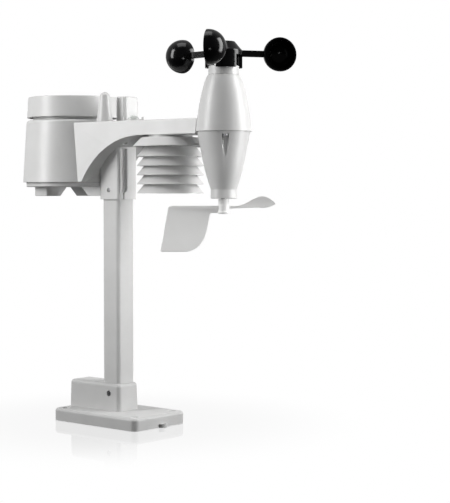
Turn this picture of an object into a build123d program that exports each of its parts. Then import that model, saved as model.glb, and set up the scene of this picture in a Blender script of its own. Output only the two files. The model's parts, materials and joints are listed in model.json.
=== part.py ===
"""Pole-mounted five-in-one outdoor weather sensor, as an assembly of separate pieces.

Frame: millimetres, +Z up, +X from the pole towards the wind head. The origin is on the underside
of the base plate, under the pole's axis. The rain gauge is on the -X side.
"""

import os
from math import acos, cos, degrees, radians, sin, sqrt

from build123d import *

os.makedirs("parts", exist_ok=True)

# ---------------------------------------------------------------- driving dimensions

WALL = 2.2  # moulded wall thickness
GAP = 0.2  # assembly gap between two housings
HEAD_GAP = 0.5  # gap round the wind head where the arm meets it
BEYOND_ARM = 400.0  # side of a square that covers the whole arm
SHAFT_GAP = 0.05  # radial clearance of a shaft in its bush

# base plate and its boss
BASE_LENGTH = 121.0
BASE_WIDTH = 76.0
BASE_HEIGHT = 13.0
BASE_CORNER = 6.6
BOSS_WIDTH = 29.0
BOSS_X_MIN = -59.4
BOSS_X_MAX = BOSS_WIDTH / 2
BOSS_TOP = 41.5
BOSS_DRAFT = 1.6  # degrees
BOSS_FLARE = 0.8  # how far the draft carries each side out at the foot
FOOT_HOLE_X = 50.0
FOOT_HOLE_Y = 28.0
FOOT_HOLE_R = 2.25

# square pole with a reduced spigot at each end
POLE_SIDE = 24.0
POLE_CORNER = 4.0
SPIGOT_SIDE = 18.0
SPIGOT_GAP = 0.2
POLE_SHOULDER_TOP = 233.6
SPIGOT_BOTTOM = 3.2
SPIGOT_TOP = 262.0
BASE_SCREW_Z = 31.0
SOCKET_SCREW_Z = 243.0

# arm: side view and plan
SOCKET_SIDE = 28.0
ARM_TOP = 313.4
ARM_UNDERSIDE = 298.5
ARM_ROOT_BOTTOM = 252.0
ARCH_RADIUS = 86.0
ARCH_X = 55.7
ARCH_Z = ARM_UNDERSIDE - ARCH_RADIUS
ARM_HALF_WIDTH = 30.9  # at the pole
ARM_TAPER = 0.0936  # loss of half width for each millimetre of X
ARM_X_MIN = -45.0
ARM_X_MAX = 132.0
COVER_THICKNESS = 2.5
COVER_LIP = 2.4

# rain gauge
GAUGE_X = -68.0
GAUGE_R_TOP = 49.5
GAUGE_R_BOTTOM = 53.5
GAUGE_TOP = 317.0
GAUGE_BOTTOM = 251.5
GAUGE_MOUTH_R = 43.0
COVER_R = 50.0
COVER_BOTTOM = 246.5
FEET_BOTTOM = 237.0
FEET_X_MIN = -84.5
FEET_X_MAX = -66.5
FEET_Y_OUT = 40.0
FEET_Y_IN_TOP = 10.6
FEET_Y_IN_BOTTOM = 20.5
RING_BOTTOM = 320.0
RING_TOP = 342.0
RING_R_BOTTOM = 48.9
RING_R_TOP = 47.7
TRAY_Z = 265.6
TRAY_THICKNESS = 1.8
BUCKET_PIVOT_Z = 276.5
BUCKET_REST_TILT = 15.0
BUCKET_WIDTH = 24.0
BUCKET_PIN_R = 1.5
CELL_R = 7.2
CELL_LENGTH = 50.5
CELL_PITCH = 15.0
CELL_Z = 256.8
CELL_X_MIDDLE = -53.0

# radiation shield
SHIELD_X = 74.5
SHIELD_R = 33.7
SHIELD_INNER_R = 14.0
SHIELD_CAP_R = 37.8
SHIELD_CAP_BOTTOM = 286.8
SHIELD_CAP_TOP = 296.0
SHIELD_TOP_RIM = 276.6
SHIELD_PITCH = 9.25
SHIELD_PLATES = 5
SHIELD_CONE_HEIGHT = 10.3  # more than the pitch, so that the plates overlap in height
SHIELD_CONE_INSET = 7.8
SHIELD_WALL = 1.5
SHIELD_POST_R = 2.6
SHIELD_POST_CIRCLE = 19.0
SHIELD_POST_START = 90.0
SHIELD_NECK_R = 22.5

# wind head
HEAD_X = 145.7
HEAD_SEAM = 300.2
HEAD_SEAM_R = 27.4
HEAD_BOTTOM = 234.6
HEAD_BOTTOM_R = 12.8
HEAD_NECK_TOP = 243.5
HEAD_LOWER_R = 26.1  # lower shell at the seam, so the upper one overhangs it
COLLAR_BOTTOM = 355.6
COLLAR_TOP = 364.0
COLLAR_R = 15.0
SHAFT_R = 2.0
VANE_SHAFT_R = 2.5
BUSH_R = 5.0
HEAD_SCREW_CIRCLE = 23.9
HEAD_RECESS_CIRCLE = 24.6
HEAD_RECESS_R = 3.4
HEAD_RECESS_DROP = 3.2  # top of a recess below the seam
HEAD_RECESS_BOTTOM = 250.0
HEAD_RECESS_WALL = 1.8
HEAD_SCREW_SEAT = HEAD_RECESS_DROP + 0.1
SEAM_GAP = 0.15
HEAD_SCREW_AZIMUTHS = (-45.0, 75.0, 195.0)

# three-cup rotor
CUP_CIRCLE = 57.8
CUP_R = 16.8
CUP_WALL = 1.5
CUP_Z = 376.7
CUP_AZIMUTHS = (56.6, -63.4, 176.6)
CUP_ARM_HEIGHT = 6.4
CUP_ARM_THICKNESS = 3.6
CUP_ARM_OFFSET = 2.6
HUB_TOP = 387.6
HUB_SKIRT_BOTTOM = 361.9
HUB_SKIRT_R = 18.3
HUB_SKIRT_INNER_R = 16.2
HUB_CEILING = 374.5
HUB_TAB_ANGLE = 67.0
HUB_TAB_END = 56.0  # from each arm to the end of the tab after it
CUP_RIM = 0.8
CUP_ROOT = 10.0

# wind vane, drawn in its own upright plane
VANE_AZIMUTH = 45.0
VANE_HUB_BOTTOM = 219.7
VANE_HUB_TOP = 228.0
VANE_HUB_R = 6.1
VANE_NECK_R = 5.2
VANE_THICKNESS = 2.2
SPINE_TOP = 227.6
SPINE_ROOT = 220.6
SPINE_WIDTH = 4.4
FIN_BOTTOM = 182.7


def save(piece, node_name):
    """Label a finished piece and write its STEP file."""
    piece.part.label = node_name
    export_step(piece.part, f"parts/{node_name}.step")


def arm_half_width(x):
    """Half width of the tapering arm at x."""
    return ARM_HALF_WIDTH - ARM_TAPER * x


def gauge_radius(z):
    """Outer radius of the conical gauge body at height z."""
    share = (z - GAUGE_BOTTOM) / (GAUGE_TOP - GAUGE_BOTTOM)
    return GAUGE_R_BOTTOM + share * (GAUGE_R_TOP - GAUGE_R_BOTTOM)


def about(x, z=0.0):
    """Horizontal plane on the upright axis at x, at height z."""
    return Plane(origin=(x, 0, z))


def side_plane(x=0.0, y=0.0, z=0.0):
    """Upright plane through a point, seen from -Y: local x is +X, local y is +Z."""
    return Plane(origin=(x, y, z), x_dir=(1, 0, 0), z_dir=(0, -1, 0))


def across_plane(x, y, z):
    """Upright plane through a point, facing +X: local x is +Y, local y is +Z."""
    return Plane(origin=(x, y, z), x_dir=(0, 1, 0), z_dir=(1, 0, 0))


def radial_plane(x, azimuth):
    """Upright plane holding the axis at x, with its local x along the azimuth and local y up."""
    a = radians(azimuth)
    return Plane(origin=(x, 0, 0), x_dir=(cos(a), sin(a), 0), z_dir=(sin(a), -cos(a), 0))


# ---------------------------------------------------------------- base plate


with BuildPart() as base_plate:
    with BuildSketch(Plane.XY):
        RectangleRounded(BASE_LENGTH, BASE_WIDTH, BASE_CORNER)
    extrude(amount=BASE_HEIGHT)
    fillet(base_plate.faces().sort_by(Axis.Z)[-1].edges(), 3.2)
    with BuildSketch(Plane.XY.offset(BASE_HEIGHT - 1.0)):
        with Locations(((BOSS_X_MIN + BOSS_X_MAX) / 2, 0)):
            RectangleRounded(BOSS_X_MAX - BOSS_X_MIN + 2 * BOSS_FLARE, BOSS_WIDTH + 2 * BOSS_FLARE, 5.0)
    extrude(amount=BOSS_TOP - BASE_HEIGHT + 1.0, taper=BOSS_DRAFT)
    fillet(base_plate.faces().sort_by(Axis.Z)[-1].edges(), 3.6)
    # hollow underside, with the pole's socket and the four screw bosses left standing
    with BuildSketch(Plane.XY):
        RectangleRounded(BASE_LENGTH - 5.6, BASE_WIDTH - 5.6, BASE_CORNER - 2.8)
        Rectangle(BOSS_WIDTH, BOSS_WIDTH, mode=Mode.SUBTRACT)
        with GridLocations(2 * FOOT_HOLE_X, 2 * FOOT_HOLE_Y, 2, 2):
            Circle(6.0, mode=Mode.SUBTRACT)
        with GridLocations(2 * 32.0, 0, 2, 1):
            Rectangle(2.0, BASE_WIDTH, mode=Mode.SUBTRACT)
    extrude(amount=BASE_HEIGHT - 2.6, mode=Mode.SUBTRACT)
    with BuildSketch(Plane.XY.offset(BASE_HEIGHT - 3.0)):
        with Locations(((BOSS_X_MIN - BOSS_X_MAX) / 2, 0)):
            RectangleRounded(-BOSS_X_MIN - BOSS_X_MAX - 5.0, BOSS_WIDTH - 5.0, 2.5)
    extrude(amount=BOSS_TOP - BASE_HEIGHT, mode=Mode.SUBTRACT)
    # socket for the pole's spigot
    with BuildSketch(Plane.XY.offset(SPIGOT_BOTTOM - 0.2)):
        RectangleRounded(SPIGOT_SIDE + 2 * SPIGOT_GAP, SPIGOT_SIDE + 2 * SPIGOT_GAP, 2.0)
    extrude(amount=BOSS_TOP, mode=Mode.SUBTRACT)
    # cross screw: head recess on -Y, clearance hole, hexagon pocket on +Y
    with BuildSketch(side_plane(0, -BOSS_WIDTH / 2 - BOSS_FLARE, BASE_SCREW_Z)):
        Circle(3.1)
    extrude(amount=-BOSS_FLARE - 3.2, mode=Mode.SUBTRACT)
    with BuildSketch(side_plane(0, -BOSS_WIDTH / 2 - BOSS_FLARE, BASE_SCREW_Z)):
        Circle(1.6)
    extrude(amount=-BOSS_WIDTH - 2 * BOSS_FLARE, mode=Mode.SUBTRACT)
    with BuildSketch(side_plane(0, BOSS_WIDTH / 2 + BOSS_FLARE, BASE_SCREW_Z)):
        RegularPolygon(2.9, 6, major_radius=False)
    extrude(amount=BOSS_FLARE + 2.8, mode=Mode.SUBTRACT)
    # screw holes in the four corners, countersunk from above
    with BuildSketch(Plane.XY):
        with GridLocations(2 * FOOT_HOLE_X, 2 * FOOT_HOLE_Y, 2, 2):
            Circle(FOOT_HOLE_R)
    extrude(amount=BASE_HEIGHT, mode=Mode.SUBTRACT)
    with Locations(*[(x, y, BASE_HEIGHT - 1.1) for x in (-FOOT_HOLE_X, FOOT_HOLE_X)
                     for y in (-FOOT_HOLE_Y, FOOT_HOLE_Y)]):
        Cone(FOOT_HOLE_R, 4.5, 2.25, mode=Mode.SUBTRACT)
    # half-round lug at floor level on the +X end
    with BuildSketch(Plane.XY):
        with Locations((BASE_LENGTH / 2 - 1.0, 3.0)):
            Circle(5.6)
        with Locations((BASE_LENGTH / 2 + 2.0, 3.0)):
            Circle(1.6, mode=Mode.SUBTRACT)
        with Locations((BASE_LENGTH / 2 - 12.0, 3.0)):
            Rectangle(20.0, 20.0, mode=Mode.SUBTRACT)
    extrude(amount=3.6)
save(base_plate, "base_plate")

with BuildPart() as pole:
    with BuildSketch(Plane.XY.offset(BOSS_TOP)):
        RectangleRounded(POLE_SIDE, POLE_SIDE, POLE_CORNER)
    extrude(amount=POLE_SHOULDER_TOP - BOSS_TOP)
    with BuildSketch(Plane.XY.offset(SPIGOT_BOTTOM)):
        RectangleRounded(SPIGOT_SIDE, SPIGOT_SIDE, 2.0)
    extrude(amount=SPIGOT_TOP - SPIGOT_BOTTOM)
    with BuildSketch(Plane.XY.offset(SPIGOT_BOTTOM)):
        RectangleRounded(SPIGOT_SIDE - 4.4, SPIGOT_SIDE - 4.4, 1.0)
    extrude(amount=SPIGOT_TOP - SPIGOT_BOTTOM, mode=Mode.SUBTRACT)
    with BuildSketch(Plane.XY.offset(BOSS_TOP + 3.0)):
        RectangleRounded(POLE_SIDE - 4.0, POLE_SIDE - 4.0, POLE_CORNER - 2.0)
    extrude(amount=POLE_SHOULDER_TOP - BOSS_TOP - 6.0, mode=Mode.SUBTRACT)
    for screw_z in (BASE_SCREW_Z, SOCKET_SCREW_Z):
        with BuildSketch(side_plane(0, -POLE_SIDE, screw_z)):
            Circle(1.6)
        extrude(amount=-2 * POLE_SIDE, mode=Mode.SUBTRACT)
save(pole, "pole")


def cross_screw(head_y, tip_y, z, head_r, head_height):
    """Pan-head screw along +Y with a cross recess, its head's seat at head_y + head_height."""
    with BuildPart() as screw:
        with BuildSketch(side_plane(0, head_y, z)):
            Circle(head_r)
        extrude(amount=-head_height)
        fillet(screw.faces().sort_by(Axis.Y)[0].edges(), head_height * 0.4)
        with BuildSketch(side_plane(0, head_y + head_height, z)):
            Circle(1.45)
        extrude(amount=head_y + head_height - tip_y)
        with BuildSketch(side_plane(0, head_y, z)):
            Rectangle(head_r * 1.1, 0.6)
            Rectangle(0.6, head_r * 1.1)
        extrude(amount=-head_height * 0.5, mode=Mode.SUBTRACT)
    return screw


def cross_nut(near_y, z, thickness):
    """Hexagon nut on a screw that runs along Y."""
    with BuildPart() as nut:
        with BuildSketch(side_plane(0, near_y, z)):
            RegularPolygon(2.75, 6, major_radius=False)
            Circle(1.5, mode=Mode.SUBTRACT)
        extrude(amount=-thickness)
        chamfer(nut.edges().filter_by(GeomType.LINE).group_by(Axis.Y)[-1], 0.25)
    return nut


base_screw = cross_screw(-13.6, 14.2, BASE_SCREW_Z, 2.8, 2.2)
save(base_screw, "base_screw")
base_nut = cross_nut(11.75, BASE_SCREW_Z, 2.3)
save(base_nut, "base_nut")
socket_screw = cross_screw(-13.4, 13.8, SOCKET_SCREW_Z, 2.1, 1.9)
save(socket_screw, "socket_screw")
socket_nut = cross_nut(11.3, SOCKET_SCREW_Z, 2.3)
save(socket_nut, "socket_nut")

# ---------------------------------------------------------------- arm


def head_radius(z):
    """Outer radius of the wind head's upper shell at height z, where the arm meets it."""
    return HEAD_SEAM_R - 0.115 * (z - HEAD_SEAM)


def arm_block(inset):
    """Solid arm moved inwards by inset, cut back from the gauge and from the wind head."""
    arch_r = ARCH_RADIUS + inset
    bottom = ARM_ROOT_BOTTOM + inset
    arch_foot_x = ARCH_X - sqrt(arch_r**2 - (bottom - ARCH_Z) ** 2)
    slant = sqrt(0.5)
    near = arm_half_width(ARM_X_MIN) - inset
    far = arm_half_width(ARM_X_MAX) - inset
    cut = GAP + inset
    head_cut = HEAD_GAP + inset
    with BuildPart() as block:
        with BuildSketch(side_plane()):
            with BuildLine():
                Line((ARM_X_MIN, bottom), (arch_foot_x, bottom))
                ThreePointArc(
                    (arch_foot_x, bottom),
                    (ARCH_X - arch_r * slant, ARCH_Z + arch_r * slant),
                    (ARCH_X, ARCH_Z + arch_r),
                )
                Polyline(
                    (ARCH_X, ARCH_Z + arch_r),
                    (ARM_X_MAX, ARCH_Z + arch_r),
                    (ARM_X_MAX, ARM_TOP),
                    (ARM_X_MIN, ARM_TOP),
                    (ARM_X_MIN, bottom),
                )
            make_face()
        extrude(amount=50, both=True)
        with BuildSketch(Plane.XY.offset(230.0)):
            with BuildLine():
                Polyline(
                    (ARM_X_MIN, -near), (ARM_X_MAX, -far), (ARM_X_MAX, far), (ARM_X_MIN, near), close=True
                )
            make_face()
        extrude(amount=100, mode=Mode.INTERSECT)
        with BuildSketch(side_plane(GAUGE_X)):
            with BuildLine():
                Polyline(
                    (0, 240.0),
                    (gauge_radius(240.0) + cut, 240.0),
                    (gauge_radius(330.0) + cut, 330.0),
                    (0, 330.0),
                    close=True,
                )
            make_face()
        revolve(axis=Axis((GAUGE_X, 0, 0), (0, 0, 1)), mode=Mode.SUBTRACT)
        with BuildSketch(side_plane(HEAD_X)):
            with BuildLine():
                Polyline(
                    (0, 290.0),
                    (HEAD_SEAM_R + head_cut, 290.0),
                    (HEAD_SEAM_R + head_cut, HEAD_SEAM),
                    (head_radius(325.0) + head_cut, 325.0),
                    (0, 325.0),
                    close=True,
                )
            make_face()
        revolve(axis=Axis((HEAD_X, 0, 0), (0, 0, 1)), mode=Mode.SUBTRACT)
    return block


ARM_SCREWS = [(20.0, -10.0), (20.0, 10.0), (97.0, -14.0), (97.0, 14.0)]
ARM_SCREW_Z = 301.0
ARM_SCREW_HEAD = 1.8
ARM_SCREW_SHANK = 8.6
PILLAR_SEAM = 308.4  # where the cover's screw pillars end above the shell's
ANTENNA_AT = (3.0, -22.0)
ANTENNA_TIP_R = 5.2
ANTENNA_DOME_Z = 338.8
TOWER_X_MIN = 6.2
TOWER_X_MAX = 20.9
TOWER_HALF_WIDTH = 11.0
TOWER_TOP = 339.6
LEVEL_AT = (32.0, -9.6)
LEVEL_DOME_R = 6.5
LEVEL_EDGE_R = 5.6
LEVEL_CENTRE_Z = ARM_TOP - 0.3
TONGUE_Y = 2.8
TONGUE_WIDTH = 12.0
TONGUE_HEIGHT = 7.4
TONGUE_Z = 305.9
WIRE_Z = TONGUE_Z
WIRE_HOLE_R = 2.4

with BuildPart() as arm_shell:
    add(arm_block(0).part)
    add(arm_block(WALL).part, mode=Mode.SUBTRACT)
    # the cover's own layer is taken off the top
    with BuildSketch(Plane.XY.offset(ARM_TOP - COVER_THICKNESS)):
        Rectangle(BEYOND_ARM, BEYOND_ARM)
    extrude(amount=20, mode=Mode.SUBTRACT)
    # pole socket under the arch
    with BuildSketch(Plane.XY.offset(POLE_SHOULDER_TOP)):
        RectangleRounded(SOCKET_SIDE, SOCKET_SIDE, 3.0)
    extrude(amount=290.0 - POLE_SHOULDER_TOP)
    with BuildSketch(Plane.XY.offset(POLE_SHOULDER_TOP)):
        RectangleRounded(SPIGOT_SIDE + 2 * SPIGOT_GAP, SPIGOT_SIDE + 2 * SPIGOT_GAP, 2.0)
    extrude(amount=285.0 - POLE_SHOULDER_TOP, mode=Mode.SUBTRACT)
    # latch slot on the +X face, with a narrow slit below it
    with BuildSketch(across_plane(SOCKET_SIDE / 2, 0, 0)):
        with BuildLine():
            Line((-10.9, 286.0), (-10.9, 244.5))
            ThreePointArc((-10.9, 244.5), (-5.7, 240.3), (-0.5, 244.5))
            Line((-0.5, 244.5), (-0.5, 286.0))
            Line((-0.5, 286.0), (-10.9, 286.0))
        make_face()
    extrude(amount=-3.8, mode=Mode.SUBTRACT)
    with BuildSketch(across_plane(SOCKET_SIDE / 2, 0, 0)):
        with Locations((-5.7, 238.0)):
            Rectangle(2.0, 9.0)
    extrude(amount=-3.0, mode=Mode.SUBTRACT)
    # cross screw at the socket
    with BuildSketch(side_plane(0, -SOCKET_SIDE / 2, SOCKET_SCREW_Z)):
        Circle(2.3)
    extrude(amount=-2.6, mode=Mode.SUBTRACT)
    with BuildSketch(side_plane(0, -SOCKET_SIDE / 2, SOCKET_SCREW_Z)):
        Circle(1.6)
    extrude(amount=-SOCKET_SIDE, mode=Mode.SUBTRACT)
    with BuildSketch(side_plane(0, SOCKET_SIDE / 2, SOCKET_SCREW_Z)):
        RegularPolygon(2.9, 6, major_radius=False)
    extrude(amount=2.8, mode=Mode.SUBTRACT)
    # screw pillars up to the cover
    for screw_x, screw_y in ARM_SCREWS:
        pillar_bottom = ARM_UNDERSIDE if screw_x > ARCH_X else ARM_UNDERSIDE - 4.5
        with BuildSketch(Plane(origin=(screw_x, screw_y, pillar_bottom))):
            Circle(3.6)
        extrude(amount=PILLAR_SEAM - 0.2 - pillar_bottom)
    with BuildSketch(Plane.XY.offset(270.0)):
        with Locations(*ARM_SCREWS):
            Circle(2.9)
    extrude(amount=303.0 - 270.0, mode=Mode.SUBTRACT)
    with BuildSketch(Plane.XY.offset(270.0)):
        with Locations(*ARM_SCREWS):
            Circle(1.4)
    extrude(amount=50.0, mode=Mode.SUBTRACT)
    # pillars for the shield's long screws
    with BuildSketch(about(SHIELD_X, ARM_UNDERSIDE)):
        with PolarLocations(SHIELD_POST_CIRCLE, 3, start_angle=SHIELD_POST_START):
            Circle(3.0)
    extrude(amount=6.0)
    with BuildSketch(about(SHIELD_X, ARM_UNDERSIDE - 1.0)):
        with PolarLocations(SHIELD_POST_CIRCLE, 3, start_angle=SHIELD_POST_START):
            Circle(1.25)
    extrude(amount=5.8, mode=Mode.SUBTRACT)
    # tongue that carries the wires into the wind head
    with BuildSketch(across_plane(HEAD_X - HEAD_SEAM_R - 2.0, TONGUE_Y, TONGUE_Z)):
        Rectangle(TONGUE_WIDTH, TONGUE_HEIGHT)
    extrude(amount=5.5)
    for wall_x in (GAUGE_X + GAUGE_R_TOP - 2.0, HEAD_X - HEAD_SEAM_R - 4.0):
        with BuildSketch(across_plane(wall_x, 0, WIRE_Z)):
            Circle(WIRE_HOLE_R)
        extrude(amount=10.0, mode=Mode.SUBTRACT)
save(arm_shell, "arm_shell")

with BuildPart() as arm_cover:
    add(arm_block(0).part)
    with BuildSketch(Plane.XY.offset(ARM_TOP - COVER_THICKNESS)):
        Rectangle(BEYOND_ARM, BEYOND_ARM)
    extrude(amount=COVER_THICKNESS, mode=Mode.INTERSECT)
    fillet(arm_cover.faces().sort_by(Axis.Z)[-1].edges().filter_by(GeomType.LINE), 1.3)
    # lip inside the walls
    with BuildSketch(Plane.XY.offset(ARM_TOP - COVER_THICKNESS - COVER_LIP)):
        with BuildLine():
            near_lip = arm_half_width(-12.0) - WALL - GAP
            far_lip = arm_half_width(110.0) - WALL - GAP
            Polyline((-12, -near_lip), (110, -far_lip), (110, far_lip), (-12, near_lip), close=True)
        make_face()
        offset(amount=-1.6, mode=Mode.SUBTRACT)
    extrude(amount=COVER_LIP)
    # rounded tower that stops the collector ring
    with BuildSketch(Plane.XY.offset(ARM_TOP - 0.5)):
        with Locations(((TOWER_X_MIN + TOWER_X_MAX) / 2, 0)):
            RectangleRounded(TOWER_X_MAX - TOWER_X_MIN, 2 * TOWER_HALF_WIDTH, 4.2)
    extrude(amount=TOWER_TOP - ARM_TOP + 0.5, taper=0.8)
    fillet(arm_cover.faces().sort_by(Axis.Z)[-1].edges(), 1.6)
    with BuildSketch(Plane.XY.offset(ARM_TOP - COVER_THICKNESS)):
        with Locations(((TOWER_X_MIN + TOWER_X_MAX) / 2, 0)):
            RectangleRounded(TOWER_X_MAX - TOWER_X_MIN - 4.4, 2 * TOWER_HALF_WIDTH - 4.4, 2.0)
    extrude(amount=TOWER_TOP - ARM_TOP, mode=Mode.SUBTRACT)
    # pillars for the screws, and the antenna's hole
    with BuildSketch(Plane.XY.offset(PILLAR_SEAM)):
        with Locations(*ARM_SCREWS):
            Circle(3.2)
    extrude(amount=ARM_TOP - 1.0 - PILLAR_SEAM)
    with BuildSketch(Plane.XY.offset(PILLAR_SEAM)):
        with Locations(*ARM_SCREWS):
            Circle(1.15)
    extrude(amount=3.4, mode=Mode.SUBTRACT)
    with BuildSketch(Plane.XY.offset(300.0)):
        with Locations(ANTENNA_AT):
            Circle(3.0)
    extrude(amount=20.0, mode=Mode.SUBTRACT)
save(arm_cover, "arm_cover")

with BuildPart() as arm_screws:
    for screw_x, screw_y in ARM_SCREWS:
        with BuildSketch(Plane(origin=(screw_x, screw_y, ARM_SCREW_Z))):
            Circle(2.5)
        extrude(amount=ARM_SCREW_HEAD)
        with BuildSketch(Plane(origin=(screw_x, screw_y, ARM_SCREW_Z + ARM_SCREW_HEAD))):
            Circle(1.1)
        extrude(amount=ARM_SCREW_SHANK)
        with BuildSketch(Plane(origin=(screw_x, screw_y, ARM_SCREW_Z))):
            Rectangle(3.0, 0.6)
            Rectangle(0.6, 3.0)
        extrude(amount=0.9, mode=Mode.SUBTRACT)
save(arm_screws, "arm_screws")

with BuildPart() as antenna_sleeve:
    with BuildSketch(side_plane(ANTENNA_AT[0], ANTENNA_AT[1])):
        with BuildLine():
            Polyline(
                (1.6, ARM_TOP), (8.3, ARM_TOP), (8.2, ARM_TOP + 2.0), (ANTENNA_TIP_R, ANTENNA_DOME_Z)
            )
            CenterArc((0, ANTENNA_DOME_Z), ANTENNA_TIP_R, 0, 90)
            Polyline(
                (0, ANTENNA_DOME_Z + ANTENNA_TIP_R), (0, 339.5), (1.6, 338.5), (1.6, ARM_TOP)
            )
        make_face()
    revolve(axis=Axis((ANTENNA_AT[0], ANTENNA_AT[1], 0), (0, 0, 1)))
save(antenna_sleeve, "antenna_sleeve")

with BuildPart() as antenna_whip:
    with BuildSketch(Plane(origin=(ANTENNA_AT[0], ANTENNA_AT[1], 303.0))):
        Circle(1.2)
    extrude(amount=35.0)
save(antenna_whip, "antenna_whip")

with BuildPart() as level_cup:
    with BuildSketch(Plane(origin=(LEVEL_AT[0], LEVEL_AT[1], ARM_TOP))):
        Circle(6.9)
        with Locations((-8.3, -4.8), (8.3, 4.8)):
            Circle(1.4)
        Rectangle(18.0, 1.8, rotation=30.0)
    extrude(amount=2.0)
    with BuildSketch(Plane(origin=(LEVEL_AT[0], LEVEL_AT[1], ARM_TOP + 0.8))):
        Circle(5.7)
    extrude(amount=2.0, mode=Mode.SUBTRACT)
    with BuildSketch(Plane(origin=(LEVEL_AT[0], LEVEL_AT[1], ARM_TOP))):
        with Locations((-8.3, -4.8), (8.3, 4.8)):
            Circle(1.2)
    extrude(amount=4.6)
    fillet(level_cup.faces().sort_by(Axis.Z)[-2:].edges(), 0.5)
save(level_cup, "level_cup")

with BuildPart() as level_dome:
    edge_angle = acos(LEVEL_EDGE_R / LEVEL_DOME_R)
    edge_z = LEVEL_CENTRE_Z + LEVEL_DOME_R * sin(edge_angle)
    with BuildSketch(side_plane(LEVEL_AT[0], LEVEL_AT[1])):
        with BuildLine():
            Polyline((0, ARM_TOP + 0.9), (LEVEL_EDGE_R, ARM_TOP + 0.9), (LEVEL_EDGE_R, edge_z))
            CenterArc((0, LEVEL_CENTRE_Z), LEVEL_DOME_R, degrees(edge_angle), 90 - degrees(edge_angle))
            Line((0, LEVEL_CENTRE_Z + LEVEL_DOME_R), (0, ARM_TOP + 0.9))
        make_face()
    revolve(axis=Axis((LEVEL_AT[0], LEVEL_AT[1], 0), (0, 0, 1)))
save(level_dome, "level_dome")

with BuildPart() as wire_harness:
    with BuildSketch(across_plane(-30.0, 0, WIRE_Z)):
        Circle(1.6)
    extrude(amount=HEAD_X - 14.0 + 30.0)
save(wire_harness, "wire_harness")

# ---------------------------------------------------------------- rain gauge

GAUGE_AXIS = Axis((GAUGE_X, 0, 0), (0, 0, 1))
GAUGE_SCREW_CIRCLE = 45.0
GAUGE_SCREW_START = 60.0
DRAIN_X = -76.0
DRAIN_Y = 33.0
DRAIN_R = 3.4
DOOR_X_MIN = -62.0
DOOR_X_MAX = -27.0
DOOR_HALF_WIDTH = 22.0
BUTTON_AT = (-97.0, 12.0)
LED_AT = (-97.0, -12.0)

with BuildPart() as gauge_body:
    with BuildSketch(side_plane(GAUGE_X)):
        with BuildLine():
            Polyline(
                (GAUGE_R_BOTTOM - WALL, GAUGE_BOTTOM),
                (GAUGE_R_BOTTOM, GAUGE_BOTTOM),
                (gauge_radius(GAUGE_TOP - 2.6), GAUGE_TOP - 2.6),
            )
            ThreePointArc(
                (gauge_radius(GAUGE_TOP - 2.6), GAUGE_TOP - 2.6),
                (GAUGE_R_TOP - 0.7, GAUGE_TOP - 0.7),
                (GAUGE_R_TOP - 2.6, GAUGE_TOP),
            )
            Polyline(
                (GAUGE_R_TOP - 2.6, GAUGE_TOP),
                (GAUGE_MOUTH_R, GAUGE_TOP),
                (GAUGE_MOUTH_R, GAUGE_TOP - WALL),
                (GAUGE_R_TOP - WALL - 0.3, GAUGE_TOP - WALL - 0.6),
                (GAUGE_R_BOTTOM - WALL, GAUGE_BOTTOM),
            )
        make_face()
    revolve(axis=GAUGE_AXIS)
    # bosses for the screws that hold the base, and the wires' hole
    with BuildSketch(about(GAUGE_X, 252.6)):
        with PolarLocations(GAUGE_SCREW_CIRCLE, 3, start_angle=GAUGE_SCREW_START):
            RectangleRounded(9.0, 7.2, 3.0)
            with Locations((3.2, 0)):
                Rectangle(6.0, 7.2)
    extrude(amount=TRAY_Z - 252.6)
    with BuildSketch(about(GAUGE_X, 252.0)):
        with PolarLocations(GAUGE_SCREW_CIRCLE, 3, start_angle=GAUGE_SCREW_START):
            Circle(1.2)
    extrude(amount=8.0, mode=Mode.SUBTRACT)
    with BuildSketch(across_plane(GAUGE_X + 30.0, 0, WIRE_Z)):
        Circle(WIRE_HOLE_R)
    extrude(amount=40.0, mode=Mode.SUBTRACT)
save(gauge_body, "gauge_body")

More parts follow.
